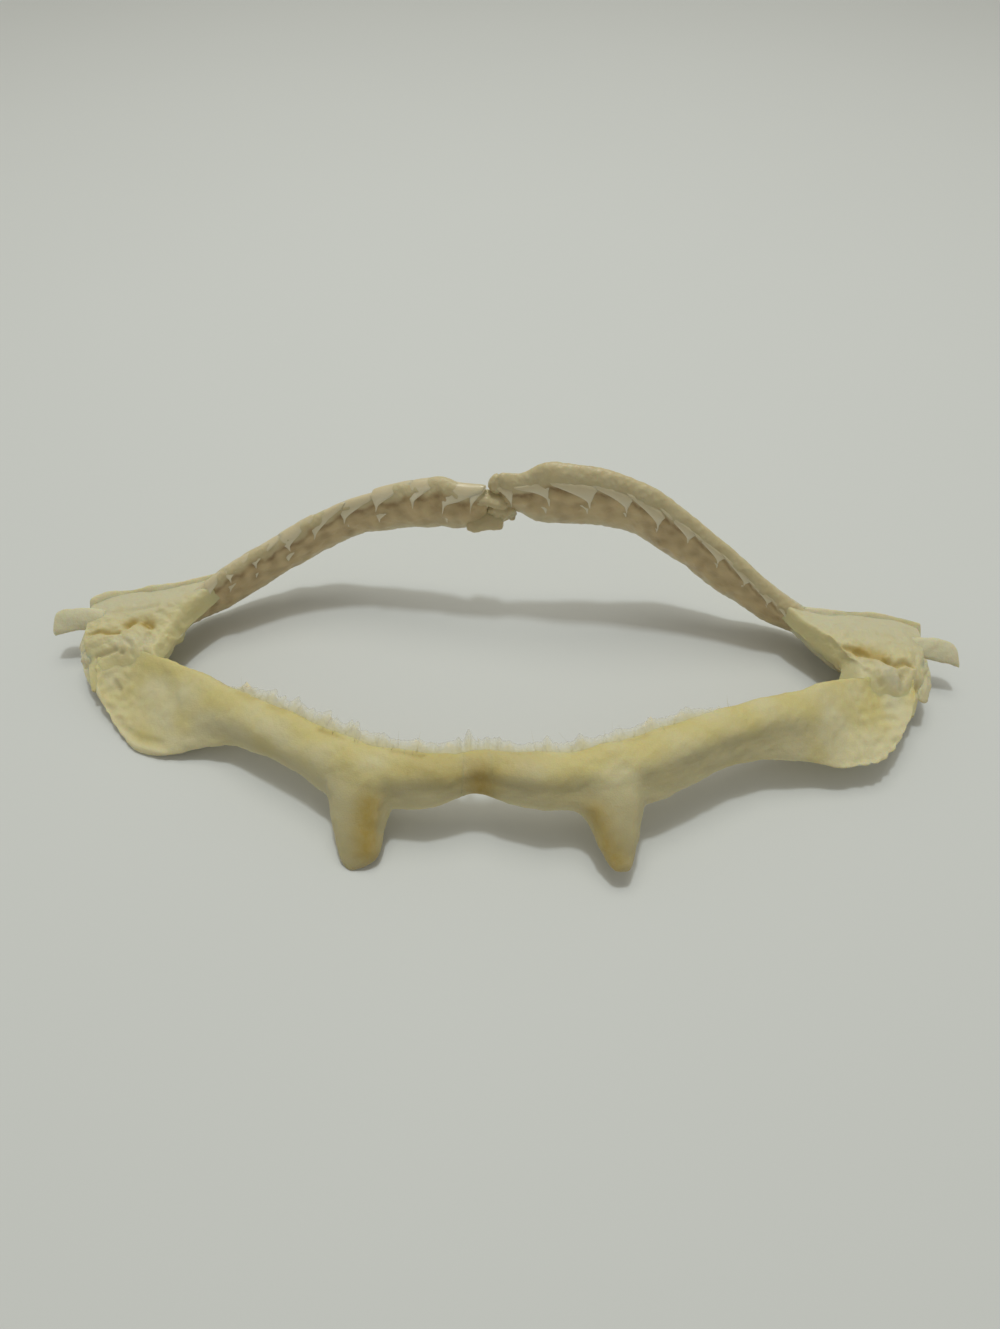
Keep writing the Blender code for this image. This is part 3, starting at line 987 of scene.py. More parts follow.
@dataclass
class Gum:
    """Dried gum over a rim, with rows of teeth lying on its lingual face, tips to the foot.

    Attributes:
        file: Where the teeth stand.
        face: 1 where the lingual face is the front one, -1 where it is the back one.
        rows: The rows of teeth, the outermost first.
        over: How far the gum reaches over the rim onto the outer face, degrees of ring angle.
        cover: Share of the bar's height that it covers on the lingual face.
        under: How far it reaches on below the foot, degrees of ring angle.
        seed: Makes its folds its own.
        run_on: How far a front gum runs on past its last tooth, mm.
        lining: Depth of its inner skin below the bar's face, mm.
        gap: Chance of a missing tooth in each row behind the first.
        innermost: Nearest to the symphysis that a tooth's middle lies, mm.
    """

    file: ToothFile
    face: int
    rows: tuple[ToothRow, ...]
    over: float
    cover: float
    under: float
    seed: int
    run_on: float = 7.0
    lining: float = 0.9
    gap: float = 0.06
    innermost: float = 2.6

    def sheet(self) -> Shell:
        """The gum: an outer skin over the rim whose lift follows the drop below it. It is padded
        under the tooth roots, sinks below their scalloped edge, swells again under the second
        row and at its hem, dives into the bar at both ends, and is closed by an inner skin.

        Returns:
            The closed surface.
        """
        bar, (start, end) = self.file.bar, self.file.span
        end = min(end + self.run_on, bar.length - 1.5) if self.face > 0 else end
        rings, columns = 300, 64
        distance = np.linspace(start - min(self.file.shift, start), end, rings)[:, None]
        numbers = bar.numbers_at(distance)
        height = 2 * bar.stance(numbers[:, 0]).half_height[:, None]
        share = np.linspace(0, 1, columns)[None, :]
        hem = 1 + 0.02 * Ripple(9.0, 1.0, self.seed).at(bar.surface(numbers, np.array([[math.pi]])))
        lowest = height * self.cover * hem
        lower_angle = bar.angle_at(numbers, lowest) + math.radians(self.under)
        angle = -math.radians(self.over) + (lower_angle + math.radians(self.over)) * share
        drop = np.where(angle < 0, 0.0, height / 2 * (1 - np.cos(angle)))
        points = bar.surface(numbers, self.face * angle)
        phase = np.cos(FULL_TURN * self.file.phase(distance))
        outer, inner = self.rows[0], self.rows[1]
        scale = self.file.scale(distance)
        edge = scale * (outer.drop + 0.36 * outer.length) - 0.5 * phase
        edge = edge + Ripple(3.0, 0.2, self.seed).at(points)
        below = ramp(drop, edge - 0.6, edge + 1.0)
        second = bump(drop, scale * (inner.drop + 0.30 * inner.length) - 0.4 * phase, 1.1)
        swell = bump(drop, lowest - 0.6, 3.6)
        plate = bump(drop, outer.drop - 0.2, 1.6) * (0.5 - 0.5 * phase)
        folds = Ripple(5.0, 0.5, self.seed + 1).at(points)
        lift = 0.55 + 0.35 * (1 - below) + 0.12 * second + 0.15 * swell + 0.22 * plate
        lift += 0.12 * below * folds + Ripple(2.2, 0.05, self.seed + 2).at(points)
        ends = plateau(distance, distance[0], distance[0] + 2.5, end - 6.0, end)
        lift = lift * plateau(share, 0.0, 0.22, 0.92, 1.0) * ends - 0.5 + 0.55 * ends
        skin = bar.surface(numbers, self.face * angle, lift + bone_relief(points))
        lining = bar.surface(numbers, self.face * angle[:, ::-4], -self.lining)
        # Painted shadow: a dark line just under the root band, painted shade in the recess below it, and fold
        # troughs darker than their crests.
        line = bump(drop, edge + 0.9, 0.8) * (angle > 0)
        deep = below * (1 - ramp(drop, edge + 1.5, lowest)) * (1 - 0.5 * second)
        values = {"warm": below, "pale": swell * below + plate * (1 - below),
                  "hollow": np.clip(0.30 * deep + 0.40 * line - 0.25 * below * folds, 0, 1)}
        padding = np.zeros(lining.shape[:-1])
        return Shell(np.concatenate((skin, lining), axis=1),
                     {name: np.concatenate((value, padding), axis=1) for name, value in values.items()})

    def teeth(self, form: ToothForm) -> list[Shell]:
        """The rows that lie on the gum. A tooth follows the bar's face from its root, which is sunk
        in the gum, by even steps of arc length to its tip, which stands off, and across it as
        well; each tooth is a little out of true.

        Args:
            form: Outline of the teeth.

        Returns:
            One shell for each row, with an item for each tooth.
        """
        bar, shells = self.file.bar, []
        random = np.random.default_rng(self.seed)
        part = np.linspace(0, 1, TOOTH_RINGS)[None]
        for number, row in enumerate(self.rows):
            widths = self.file.widths * row.widths
            middle = np.maximum(self.file.middles + row.stagger * self.file.widths, self.innermost)
            kept = random.uniform(size=len(middle)) > self.gap * number
            middle, widths = middle[kept], np.minimum(widths, 1.9 * middle)[kept]
            numbers = bar.numbers_at(middle)
            height = 2 * bar.stance(numbers).half_height
            length = row.length * random.normal(1, 0.07, len(middle)) * self.file.scale(middle)
            drop = np.minimum(row.drop * self.file.scale(middle), height * 0.5)
            drop = drop + random.normal(0, 0.12, len(middle))
            start = bar.angle_at(numbers, drop)[:, None]
            lowest = bar.angle_at(numbers, 0.92 * height)[:, None]
            fine = start + (lowest - start) * np.linspace(0, 1, 80)[None]
            face = bar.surface(numbers[:, None], self.face * fine)
            way = np.cumsum(np.linalg.norm(np.diff(face, axis=1), axis=2), axis=1)
            way = np.concatenate((np.zeros((len(way), 1)), way), axis=1)
            angles = np.stack([np.interp(part[0] * reach, one, turned)
                               for reach, one, turned in zip(length, way, fine)])
            sideways, outwards = form.rings(widths, length, TOOTH_RINGS, TOOTH_COLUMNS)
            place = middle[:, None] + random.normal(0, 0.5, (len(middle), 1)) * part**2
            lift = row.sunk + (0.5 - row.sunk) * ramp(part, 0.0, row.bare) + row.stand * part**2
            lift = lift + bone_relief(bar.surface(numbers[:, None], self.face * angles))
            grid = bar.surface(bar.numbers_at(place[..., None] + sideways),
                               self.face * angles[..., None], lift[..., None] + outwards)
            shells.append(Shell(grid, {"tip": part[..., None]}))
        return shells


def dress_half(jaw: Jaw, side: Side, bones: Sequence[Shell], gum: Gum, teeth: Sequence[Shell],
               finishes: "Finishes") -> None:
    """Make the pieces that every half jaw has: cartilage, gum and tooth rows.

    Args:
        jaw: Which jaw.
        side: Which half of it.
        bones: Its cartilage.
        gum: Its gum.
        teeth: Its teeth.
        finishes: The specimen's materials.
    """
    name, word = jaw.value, side.word
    tooth_node = f"{name}_teeth_{word}"
    make_piece(f"{name}_cartilage_{word}", bones, finishes.cartilage, (f"{name}_jaw_{word}",))
    make_piece(f"{name}_gum_{word}", (gum.sheet(),), finishes.gum, (tooth_node,))
    make_piece(f"{name}_tooth_rows_{word}", teeth, finishes.teeth, (tooth_node,))


@dataclass
class LowerHalf:
    """Half of the lower jaw: bar, wing at its corner, gum and teeth on the face towards the mouth.

    Attributes:
        side: Which half.
        bar: Its bar.
        wing: The thin plate at its corner.
        gum: Its gum and teeth.
        marks: Pits, ridges and stains, and painted light.
        seed: Makes its surface its own.
    """

    side: Side
    bar: Bar
    wing: Bar
    gum: Gum
    marks: tuple[Mark, ...]
    seed: int

    def build(self, finishes: "Finishes") -> None:
        """Make this half's pieces.

        Args:
            finishes: The specimen's materials.
        """
        bone = cartilage(self.bar, self.marks, rows=330, columns=110, seed=self.seed, pale=0.15)
        plate = cartilage(self.wing, self.marks, rows=170, columns=90, seed=self.seed + 1, pale=0.6)
        teeth = self.gum.teeth(NARROW_TOOTH)
        dress_half(Jaw.LOWER, self.side, (bone, plate), self.gum, teeth, finishes)


@dataclass
class Fringe:
    """The ragged dried membrane and the stray fibres along the rim of an upper half.

    Attributes:
        file: Where the teeth stand along that rim.
        start: Section number where the membrane starts.
        end: Section number where it runs out.
        hairs: How many stray fibres there are.
        seed: Makes its rags its own.
    """

    file: ToothFile
    start: float
    end: float
    hairs: int
    seed: int

    def reach(self) -> tuple[float, float]:
        """Distances along the rim where the membrane starts and runs out, mm."""
        first, last = self.file.bar.distance_at(np.array((self.start, self.end)))
        return float(first), float(last)

    def membrane(self) -> Shell:
        """A thin upright strip on the rim: its height is a hem plus a peak at each tooth plus
        the squares of two ripples, and its thickness runs out to the torn edge.

        Returns:
            The closed strip.
        """
        bar, (first, last) = self.file.bar, self.reach()
        distance = np.linspace(first - 1.8, last, 620)
        numbers = bar.numbers_at(distance)
        axis, front = bar.stance(numbers)[1:3]
        beyond = np.minimum(distance - first, 0.0)[:, None] * bar.side.value
        roots = bar.surface(numbers, np.radians(4.0), -1.2) + beyond * unit(np.cross(axis, front))
        peak = (0.5 - 0.5 * np.cos(FULL_TURN * self.file.phase(distance)))**3
        rags = Ripple(6.0, 0.6, self.seed).at(roots)**2 + Ripple(2.2, 0.4, self.seed + 1).at(roots)**2
        height = 3.1 + 1.4 * peak * (0.5 + 0.5 * rags) + 0.6 * rags
        height *= 1 - ramp(distance, last - 18, last) + 0.05
        rise = np.linspace(0, 1, 9)
        share = np.concatenate((rise, rise[::-1]))[None, :]
        facing = np.repeat((1.0, -1.0), len(rise))[None, :]
        lean = -np.abs(Ripple(5.0, 0.6, self.seed + 2).at(roots))[:, None] * share
        lean = lean - 0.5 * share**2 * height[:, None]
        out = lean + facing * (0.16 - 0.13 * share)
        grid = roots[:, None] + (share * height[:, None])[..., None] * axis[:, None]
        return Shell(grid + out[..., None] * front[:, None], {"tip": share})

    def fibres(self) -> Shell:
        """Stray fibres: each a four sided taper along a parabola from the rim, most of them short,
        leaning at random along the jaw.

        Returns:
            One item for each fibre.
        """
        bar, random = self.file.bar, np.random.default_rng(self.seed + 5)
        first, last = self.reach()
        distance = random.triangular(first, first + 0.25 * (last - first), last, self.hairs)
        numbers = bar.numbers_at(distance)
        roots = bar.surface(numbers, np.radians(random.uniform(-22, 24, self.hairs)), -0.1)
        axis, front = bar.stance(numbers)[1:3]
        along = unit(np.cross(axis, front))
        lengths = 1.4 + random.gamma(2.0, 0.75, self.hairs)
        ways = unit(axis + random.normal(0, 0.55, (self.hairs, 1)) * along
                    + random.normal(-0.2, 0.35, (self.hairs, 1)) * front)
        bends = random.normal(0, 0.30, (self.hairs, 3))
        part = np.linspace(0, 1, 7)[None, :, None]
        path = roots[:, None] + lengths[:, None, None] * (part * ways[:, None] + part**2 * bends[:, None])
        radius = random.uniform(0.04, 0.08, (self.hairs, 1, 1)) * (1 - 0.85 * part)
        turn = round_angles(4)[None, :, :, None]
        ring = np.cos(turn) * along[:, None, None] + np.sin(turn) * front[:, None, None]
        return Shell(path[:, :, None] + radius[..., None] * ring, {"tip": 0.6 * part})


@dataclass
class UpperHalf:
    """Half of the upper jaw: bar with its leg and lobe, gum and teeth, and the fringe on its rim.

    Attributes:
        side: Which half.
        bar: Its bar.
        gum: Its gum and the teeth on the face away from the viewer.
        fringe: Membrane and fibres on the rim.
        marks: Pits, ridges and stains, with painted shade and painted highlights.
        folds: The ridge along its face and the hollows below it.
        seed: Makes its surface its own.
    """

    side: Side
    bar: Bar
    gum: Gum
    fringe: Fringe
    marks: tuple[Mark, ...]
    folds: tuple[Fold, ...]
    seed: int

    def standing_teeth(self) -> Shell:
        """The working row: teeth that stand on the rim and lean into the mouth along a line that
        is bent a little.

        Returns:
            One item for each tooth.
        """
        file, random = self.gum.file, np.random.default_rng(self.seed + 9)
        numbers = self.bar.numbers_at(file.middles)
        kept = numbers < self.fringe.end - 0.5
        numbers, widths = numbers[kept], file.widths[kept]
        axis, front = self.bar.stance(numbers)[1:3]
        bases = self.bar.surface(numbers, np.radians(-20.0), -0.6)
        scale = (widths / WIDEST_TOOTH)[:, None]
        lean = np.radians(random.uniform(24, 60, (len(numbers), 1)))
        tips = bases + scale * random.uniform(4.4, 5.8, lean.shape) * (np.cos(lean) * axis
                                                                     - np.sin(lean) * front)
        part = np.linspace(0, 1, TOOTH_RINGS)[None, :, None]
        bend = 0.5 * part * (1 - part)
        spines = bases[:, None] + part * (tips - bases)[:, None] - bend * front[:, None]
        along = self.side.value * unit(np.cross(axis, front))
        out = -self.side.value * unit(np.cross(along, tips - bases))
        lengths = np.linalg.norm(tips - bases, axis=1)
        sideways, outwards = BROAD_TOOTH.rings(widths * 0.80, lengths, TOOTH_RINGS, TOOTH_COLUMNS)
        grid = (spines[:, :, None] + sideways[..., None] * along[:, None, None]
                + outwards[..., None] * out[:, None, None])
        return Shell(grid, {"tip": part})

    def build(self, finishes: "Finishes") -> None:
        """Make this half's pieces.

        Args:
            finishes: The specimen's materials.
        """
        bone = cartilage(self.bar, self.marks, rows=460, columns=150, seed=self.seed, folds=self.folds)
        teeth = (self.standing_teeth(), *self.gum.teeth(BROAD_TOOTH))
        dress_half(Jaw.UPPER, self.side, (bone,), self.gum, teeth, finishes)
        make_piece(f"rim_fringe_{self.side.word}", (self.fringe.membrane(), self.fringe.fibres()),
                   finishes.membrane, ())


@dataclass(frozen=True)
class Strap:
    """A flat band of dried ligament.

    Attributes:
        path: Points that it runs through, mm on the bench.
        width: Half width at its middle, mm.
        depth: Half thickness at its middle, mm.
        up: The way that its flat side looks.
        seed: Makes its surface its own.
        pale: How bleached it is, from 0 to 1.
        ochre: How stained it is, from 0 to 1.
    """

    path: tuple[Point, ...]
    width: float
    depth: float
    up: Point = (0.0, -0.5, 0.87)
    seed: int = 1
    pale: float = 0.0
    ochre: float = 0.0

    def shell(self) -> Shell:
        """An elliptical sweep along a smooth curve, whose ends are blunt and closed.

        Returns:
            The closed surface.
        """
        rows, columns = 90, 44
        corners = np.array(self.path)
        share = (1 - np.cos(np.linspace(0, math.pi, rows))) / 2
        line = smooth_curve(corners, share * (len(corners) - 1))
        way = unit(np.gradient(line, axis=0))
        side = unit(np.cross(way, np.array(self.up)))
        out = np.cross(side, way)
        closing = blunt_circle(2 * share - 1, 6)[:, None]
        turn = round_angles(columns)
        across, lift = self.width * closing * np.cos(turn), self.depth * closing * np.sin(turn)
        grid = line[:, None] + across[..., None] * side[:, None] + lift[..., None] * out[:, None]
        length = np.linalg.norm(np.diff(line, axis=0), axis=1).sum()
        straight = points_at(share[:, None] * length, across, lift)
        height = relief(grid, self.seed, (6.0, 0.22), (2.2, 0.07))
        height += Ripple(1.2, 0.06, self.seed + 2).at(straight * FIBRE_STRETCH)
        values = {"straight": straight, "pale": self.pale, "ochre": self.ochre}
        return Shell(lifted(grid, height * closing), values)


@dataclass(frozen=True)
class Knot:
    """A lump of dried ligament.

    Attributes:
        centre: Its middle, mm on the bench.
        radii: Half sizes along the three axes, mm.
        marks: Crevices and patches on it.
        seed: Makes its lumps its own.
        roughness: Height of its lumps, mm.
    """

    centre: Point
    radii: Point
    marks: tuple[Mark, ...]
    seed: int
    roughness: float = 1.0

    def shell(self) -> Shell:
        """A ball stretched to the radii: latitude along it and longitude round it, with ripples.

        Returns:
            The closed surface.
        """
        rows, columns = 90, 120
        down = np.linspace(0.02, math.pi - 0.02, rows)[:, None]
        turn = round_angles(columns)
        ball = points_at(np.cos(down), np.sin(down) * np.cos(turn), np.sin(down) * np.sin(turn))
        grid = np.array(self.centre) + ball * np.array(self.radii)
        values: dict[str, Array | float] = {}
        lumps = relief(grid, self.seed, (7.0, 0.55), (3.0, 0.30), (1.4, 0.10))
        height = self.roughness * lumps + marked(grid, self.marks, values)
        # Painted shade in the crevices between the lumps.
        crevices = np.clip(-0.3 - 0.6 * lumps, 0, 0.5)
        values["hollow"] = np.clip(values.get("hollow", 0.0) + crevices, 0, 1)
        return Shell(lifted(grid, height), values)


@dataclass(frozen=True)
class Slab:
    """A dried web of tissue whose upper side runs smoothly through lines of points.

    Attributes:
        lines: From back to front, each from its first end to its other one, mm on the bench.
        depths: How thick the web is at each line, mm.
        pale: How bleached it is at each line, from 0 to 1.
        lumps: How lumpy it is at each line, from 0 to 1.
        marks: Crevices, lumps and stains.
        seed: Makes its surface its own.
    """

    lines: tuple[tuple[Point, ...], ...]
    depths: tuple[float, ...]
    pale: tuple[float, ...]
    lumps: tuple[float, ...]
    marks: tuple[Mark, ...]
    seed: int

    def shell(self) -> Shell:
        """The upper side is a smooth curve along each line and a second one across the lines. The
        under side is the same surface let down by the depth, which closes at both ends like a
        squared circle and thins towards the end in the mouth. A ring runs along a line over the
        top and back below with fewer points.

        Returns:
            The closed surface.
        """
        rows, columns, skipped = 190, 170, 5
        lines = np.array(self.lines)
        along = np.linspace(0, lines.shape[1] - 1, rows)
        across = np.linspace(0, len(lines) - 1, columns)
        top = np.stack([smooth_curve(line, along) for line in lines])
        top = smooth_curve(top.reshape(len(lines), -1), across).reshape(columns, rows, 3)
        top = top.transpose(1, 0, 2)
        form = smooth_curve(np.array((self.depths, self.pale, self.lumps)).T, across)
        mouthward = np.sign(abs(lines[0, 0, 0]) - abs(lines[0, -1, 0]))
        end = (2 * along[:, None] / along[-1] - 1) * mouthward
        depth = form[:, 0][None] * blunt_circle(end, 8)
        depth = np.minimum(depth, 0.3 + 8.0 * (1 - end) + 2.0 * ramp(form[:, 0], 5.0, 8.0))
        front = ramp(across / across[-1], 0.68, 0.86)
        inside = ramp(end, 0.35, 0.75)
        values = {"pale": form[:, 1] * (1 - 0.8 * inside), "warm": np.maximum(front, inside)}
        lumps = relief(top, self.seed, (7.0, 0.28), (3.4, 0.15), (1.5, 0.03))
        height = lumps * form[:, 2] + marked(top, self.marks, values)
        top[..., 2] += height * np.clip(depth, 0, 1)
        below = top[::-skipped].copy()
        below[..., 2] -= depth[::-skipped] + 0.05
        values = {name: np.concatenate((value, value[::-skipped])).T for name, value in values.items()}
        return Shell(on_table(np.concatenate((top, below)).transpose(1, 0, 2)), values)


@dataclass
class Binding:
    """A piece made of dried ligament.

    Attributes:
        name: The piece's name.
        node: The CAD node that it stands for.
        parts: Its lumps, bands and webs.
        gum: Whether it is torn gum.
    """

    name: str
    node: str
    parts: tuple[Knot | Strap | Slab, ...]
    gum: bool = False

    def build(self, finishes: "Finishes") -> None:
        """Make the piece."""
        finish = finishes.gum if self.gum else finishes.ligament
        make_piece(self.name, [part.shell() for part in self.parts], finish, (self.node,))


@dataclass
class Rag:
    """A piece of dry cartilage or tissue that is one plain bar or bridge with marks.

    Attributes:
        name: The piece's name.
        node: The CAD node that it stands for.
        bar: Its form.
        marks: Stains and ridges.
        pale: How bleached it looks, from 0 to 1.
        seed: Makes its surface its own.
        folds: Ridges and hollows along it.
    """

    name: str
    node: str
    bar: Bar | Bridge
    marks: tuple[Mark, ...]
    pale: float
    seed: int
    folds: tuple[Fold, ...] = ()

    def build(self, finishes: "Finishes") -> None:
        """Make the piece."""
        shell = cartilage(self.bar, self.marks, 130, 120, self.seed, pale=self.pale, folds=self.folds)
        make_piece(self.name, (shell,), finishes.cartilage, (self.node,))


@dataclass(frozen=True)
class Flow:
    """A number that varies over a surface; arithmetic on it adds Math nodes to the tree.

    Attributes:
        paint: The material that the socket is in.
        socket: An output that carries a number.
    """

    paint: "Paint"
    socket: bpy.types.NodeSocket

    def math(self, operation: str, first: "Flow | float", second: "Flow | float") -> "Flow":
        """One Math node."""
        node = self.paint.add("ShaderNodeMath", {"operation": operation}, {0: first, 1: second})
        return Flow(self.paint, node.outputs[0])

    def __add__(self, other: "Flow | float") -> "Flow":
        """Sum."""
        return self.math("ADD", self, other)

    __radd__ = __add__

    def __mul__(self, other: "Flow | float") -> "Flow":
        """Product."""
        return self.math("MULTIPLY", self, other)

    __rmul__ = __mul__

    def __sub__(self, other: "Flow | float") -> "Flow":
        """Difference."""
        return self.math("SUBTRACT", self, other)

    def __rsub__(self, other: "Flow | float") -> "Flow":
        """Difference the other way round."""
        return self.math("SUBTRACT", other, self)

    def spread(self, low: float, high: float, start: float = 0.0, end: float = 1.0) -> "Flow":
        """The number mapped in a line from low..high to start..end and held there."""
        node = self.paint.add("ShaderNodeMapRange", {"clamp": True},
                              {"Value": self, "From Min": low, "From Max": high,
                               "To Min": start, "To Max": end})
        return Flow(self.paint, node.outputs[0])


class Paint:
    """A material's node tree, built from Python expressions."""

    def __init__(self, name: str, **constants: float | tuple) -> None:
        """Start a material.

        Args:
            name: Its name.
            constants: Values set on the shader's own sockets, spaces written as underscores.
        """
        self.material = bpy.data.materials.new(name)
        self.material.use_nodes = True
        self.tree = self.material.node_tree
        self.shader = self.tree.nodes["Principled BSDF"]
        for socket, value in constants.items():
            self.shader.inputs[socket.replace("_", " ")].default_value = value

    def add(self, kind: str, settings: dict, sockets: dict) -> bpy.types.Node:
        """Add a node.

        Args:
            kind: The node's type.
            settings: Its settings, set first.
            sockets: Values, flows or sockets for its inputs, by identifier, name or number.

        Returns:
            The node.
        """
        node = self.tree.nodes.new(kind)
        for name, value in settings.items():
            setattr(node, name, value)
        by_name = {one.name: one for one in reversed(node.inputs)}
        by_name.update({one.identifier: one for one in node.inputs})
        for name, value in sockets.items():
            target = node.inputs[name] if isinstance(name, int) else by_name[name]
            self.feed(target, value)
        return node

    def feed(self, target: bpy.types.NodeSocket, value: object) -> None:
        """Give an input its value.

        Args:
            target: The input.
            value: A flow, a socket, a colour or a number.
        """
        if isinstance(value, Flow):
            self.tree.links.new(value.socket, target)
        elif isinstance(value, bpy.types.NodeSocket):
            self.tree.links.new(value, target)
        elif isinstance(value, tuple) and len(value) == 3 and target.type == "RGBA":
            target.default_value = (*value, 1.0)
        else:
            target.default_value = value

    def place(self) -> bpy.types.NodeSocket:
        """Object coordinates, metres."""
        return self.add("ShaderNodeTexCoord", {}, {}).outputs["Object"]

    def value(self, name: str) -> Flow:
        """A number that the mesh holds for each point."""
        node = self.add("ShaderNodeAttribute", {"attribute_name": name}, {})
        return Flow(self, node.outputs["Fac"])

    def straight(self, stretch: Point) -> bpy.types.NodeSocket:
        """Coordinates of the straightened bar, mm, stretched along its three ways."""
        given = self.add("ShaderNodeAttribute", {"attribute_name": "straight"}, {}).outputs["Vector"]
        return self.add("ShaderNodeVectorMath", {"operation": "MULTIPLY"}, {0: given, 1: stretch}).outputs[0]

    def noises(self, cloud_scale: float, grain_scale: float, detail: float = 3.0) -> tuple[Flow, Flow]:
        """Slow clouds and fine grain, each so many for a metre of object coordinates."""
        where = self.place()
        return self.noise(where, cloud_scale), self.noise(where, grain_scale, detail)

    def noise(self, where: bpy.types.NodeSocket, scale: float, detail: float = 3.0) -> Flow:
        """Cloudy noise from 0 to 1, with so many clouds for each unit of the coordinates."""
        node = self.add("ShaderNodeTexNoise", {},
                        {"Vector": where, "Scale": scale, "Detail": detail, "Roughness": 0.55})
        return Flow(self, node.outputs["Fac"])

    def tiles(self, where: bpy.types.NodeSocket, scale: float) -> Flow:
        """Distance to the nearest edge in a mosaic of cells, so many for each unit."""
        node = self.add("ShaderNodeTexVoronoi", {"feature": "DISTANCE_TO_EDGE"},
                        {"Vector": where, "Scale": scale})
        return Flow(self, node.outputs["Distance"])

    def blend(self, first: object, second: object, factor: Flow) -> bpy.types.NodeSocket:
        """A colour between two, by the second one's share from 0 to 1."""
        node = self.add("ShaderNodeMix", {"data_type": "RGBA", "clamp_factor": True},
                        {"Factor_Float": factor, "A_Color": first, "B_Color": second})
        return node.outputs[2]

    def finish(self, colour: object, roughness: Flow, height: Flow, depth: float) -> bpy.types.Material:
        """Feed the shader.

        Args:
            colour: The base colour's socket.
            roughness: The roughness.
            height: Relief that the bump follows, from 0 to 1.
            depth: Height of that relief, metres.

        Returns:
            The material.
        """
        self.feed(self.shader.inputs["Base Color"], colour)
        self.feed(self.shader.inputs["Roughness"], roughness)
        node = self.add("ShaderNodeBump", {}, {"Height": height, "Distance": depth, "Strength": 1.0})
        self.feed(self.shader.inputs["Normal"], node.outputs["Normal"])
        return self.material


@dataclass(frozen=True)
class Finish:
    """What every finish has; its other fields are its colours and its own patterns' scales.

    Attributes:
        cloud_scale: Slow clouds for each metre.
        grain_scale: Fine grains for each metre.
        depth: Height of the relief that its bump follows, m.
    """

    cloud_scale: float = 3.0
    grain_scale: float = 1000.0
    depth: float = 0.0


@dataclass(frozen=True)
class CartilageFinish(Finish):
    """Dry calcified cartilage: cream and yellow clouds, a fine mosaic of hard tiles, painted shade on
    folds and legs, ochre stains, bleached thin parts, pale painted light on some ends and rims, and
    painted shade in hollows."""

    cream: Colour = (0.70, 0.64, 0.395)
    yellow: Colour = (0.665, 0.58, 0.262)
    bleached: Colour = (0.70, 0.665, 0.485)
    ochre: Colour = (0.45, 0.33, 0.09)
    # Colour of the painted shade on legs and sunk folds.
    dusk: Colour = (0.43, 0.375, 0.21)
    dark: Colour = (0.27, 0.19, 0.08)
    cloud_scale: float = 95.0
    grain_scale: float = 620.0
    tile_scale: float = 1500.0
    fibre_stretch: Point = (0.10, 0.7, 0.7)
    depth: float = 0.00015

    def make(self) -> bpy.types.Material:
        """Build the material.

        Returns:
            The material.
        """
        paint = Paint("dry_cartilage", Subsurface_Weight=0.5, Subsurface_Scale=0.0016,
                      Subsurface_Radius=(1.0, 0.6, 0.25), Specular_IOR_Level=0.35)
        cloud, grain = paint.noises(self.cloud_scale, self.grain_scale, 4.0)
        fibre = paint.noise(paint.straight(self.fibre_stretch), 1.0, 2.0)
        tile = paint.tiles(paint.place(), self.tile_scale).spread(0.0, 0.22)
        warm = (paint.value("warm") + (cloud - 0.5) * 0.9).spread(0.15, 0.95)
        colour = paint.blend(self.cream, self.yellow, warm)
        # Painted shade on legs and sunk folds.
        colour = paint.blend(colour, self.dusk, paint.value("dusk") * (0.5 + fibre * 0.3))
        # pale is bleached colour, and painted light on the lobe rims and bar ends.
        colour = paint.blend(colour, self.bleached, paint.value("pale") * (0.6 + grain * 0.5))
        stain = paint.value("ochre") * (0.55 + grain * 0.8) + (cloud * grain).spread(0.36, 0.5) * 0.12
        colour = paint.blend(colour, self.ochre, stain.spread(0.0, 1.0))
        worn = (1.0 - tile) * 0.05 + fibre.spread(0.52, 0.75) * 0.04
        # Painted shade where the hollow value is high, plus darker tile edges and fibres that the cartilage
        # has.
        dark = paint.value("hollow") * (0.8 + grain * 0.3) + worn
        colour = paint.blend(colour, self.dark, dark.spread(0.0, 1.0))
        height = tile * 0.2 + grain * 0.55 + fibre * 0.15
        return paint.finish(colour, 0.62 - cloud * 0.15 + grain * 0.1, height, self.depth)


@dataclass(frozen=True)
class GumFinish(Finish):
    """Dried gum: tan skin over the tooth bases, brown folded skin below, a pale hem, and painted shade in its
    recesses.
    """

    tan: Colour = (0.61, 0.52, 0.31)
    brown: Colour = (0.645, 0.505, 0.28)
    dark: Colour = (0.27, 0.17, 0.07)
    hem: Colour = (0.62, 0.54, 0.34)
    cloud_scale: float = 210.0
    grain_scale: float = 900.0
    depth: float = 0.0003

    def make(self) -> bpy.types.Material:
        """Build the material.

        Returns:
            The material.
        """
        paint = Paint("dried_gum", Subsurface_Weight=0.3, Subsurface_Scale=0.001,
                      Subsurface_Radius=(1.0, 0.5, 0.25), Specular_IOR_Level=0.45)
        cloud, grain = paint.noises(self.cloud_scale, self.grain_scale, 4.0)
        colour = paint.blend(self.tan, self.brown, paint.value("warm") * (0.55 + cloud * 0.9))
        colour = paint.blend(colour, self.hem, paint.value("pale") * (0.4 + grain))
        # Painted shade from the hollow value, plus random darker clouds.
        shade = paint.value("hollow") * (0.6 + grain * 0.8) + cloud.spread(0.55, 0.8) * 0.2
        colour = paint.blend(colour, self.dark, shade.spread(0.0, 1.0))
        return paint.finish(colour, 0.48 - cloud * 0.2, grain * 0.7 + cloud * 0.5, self.depth)


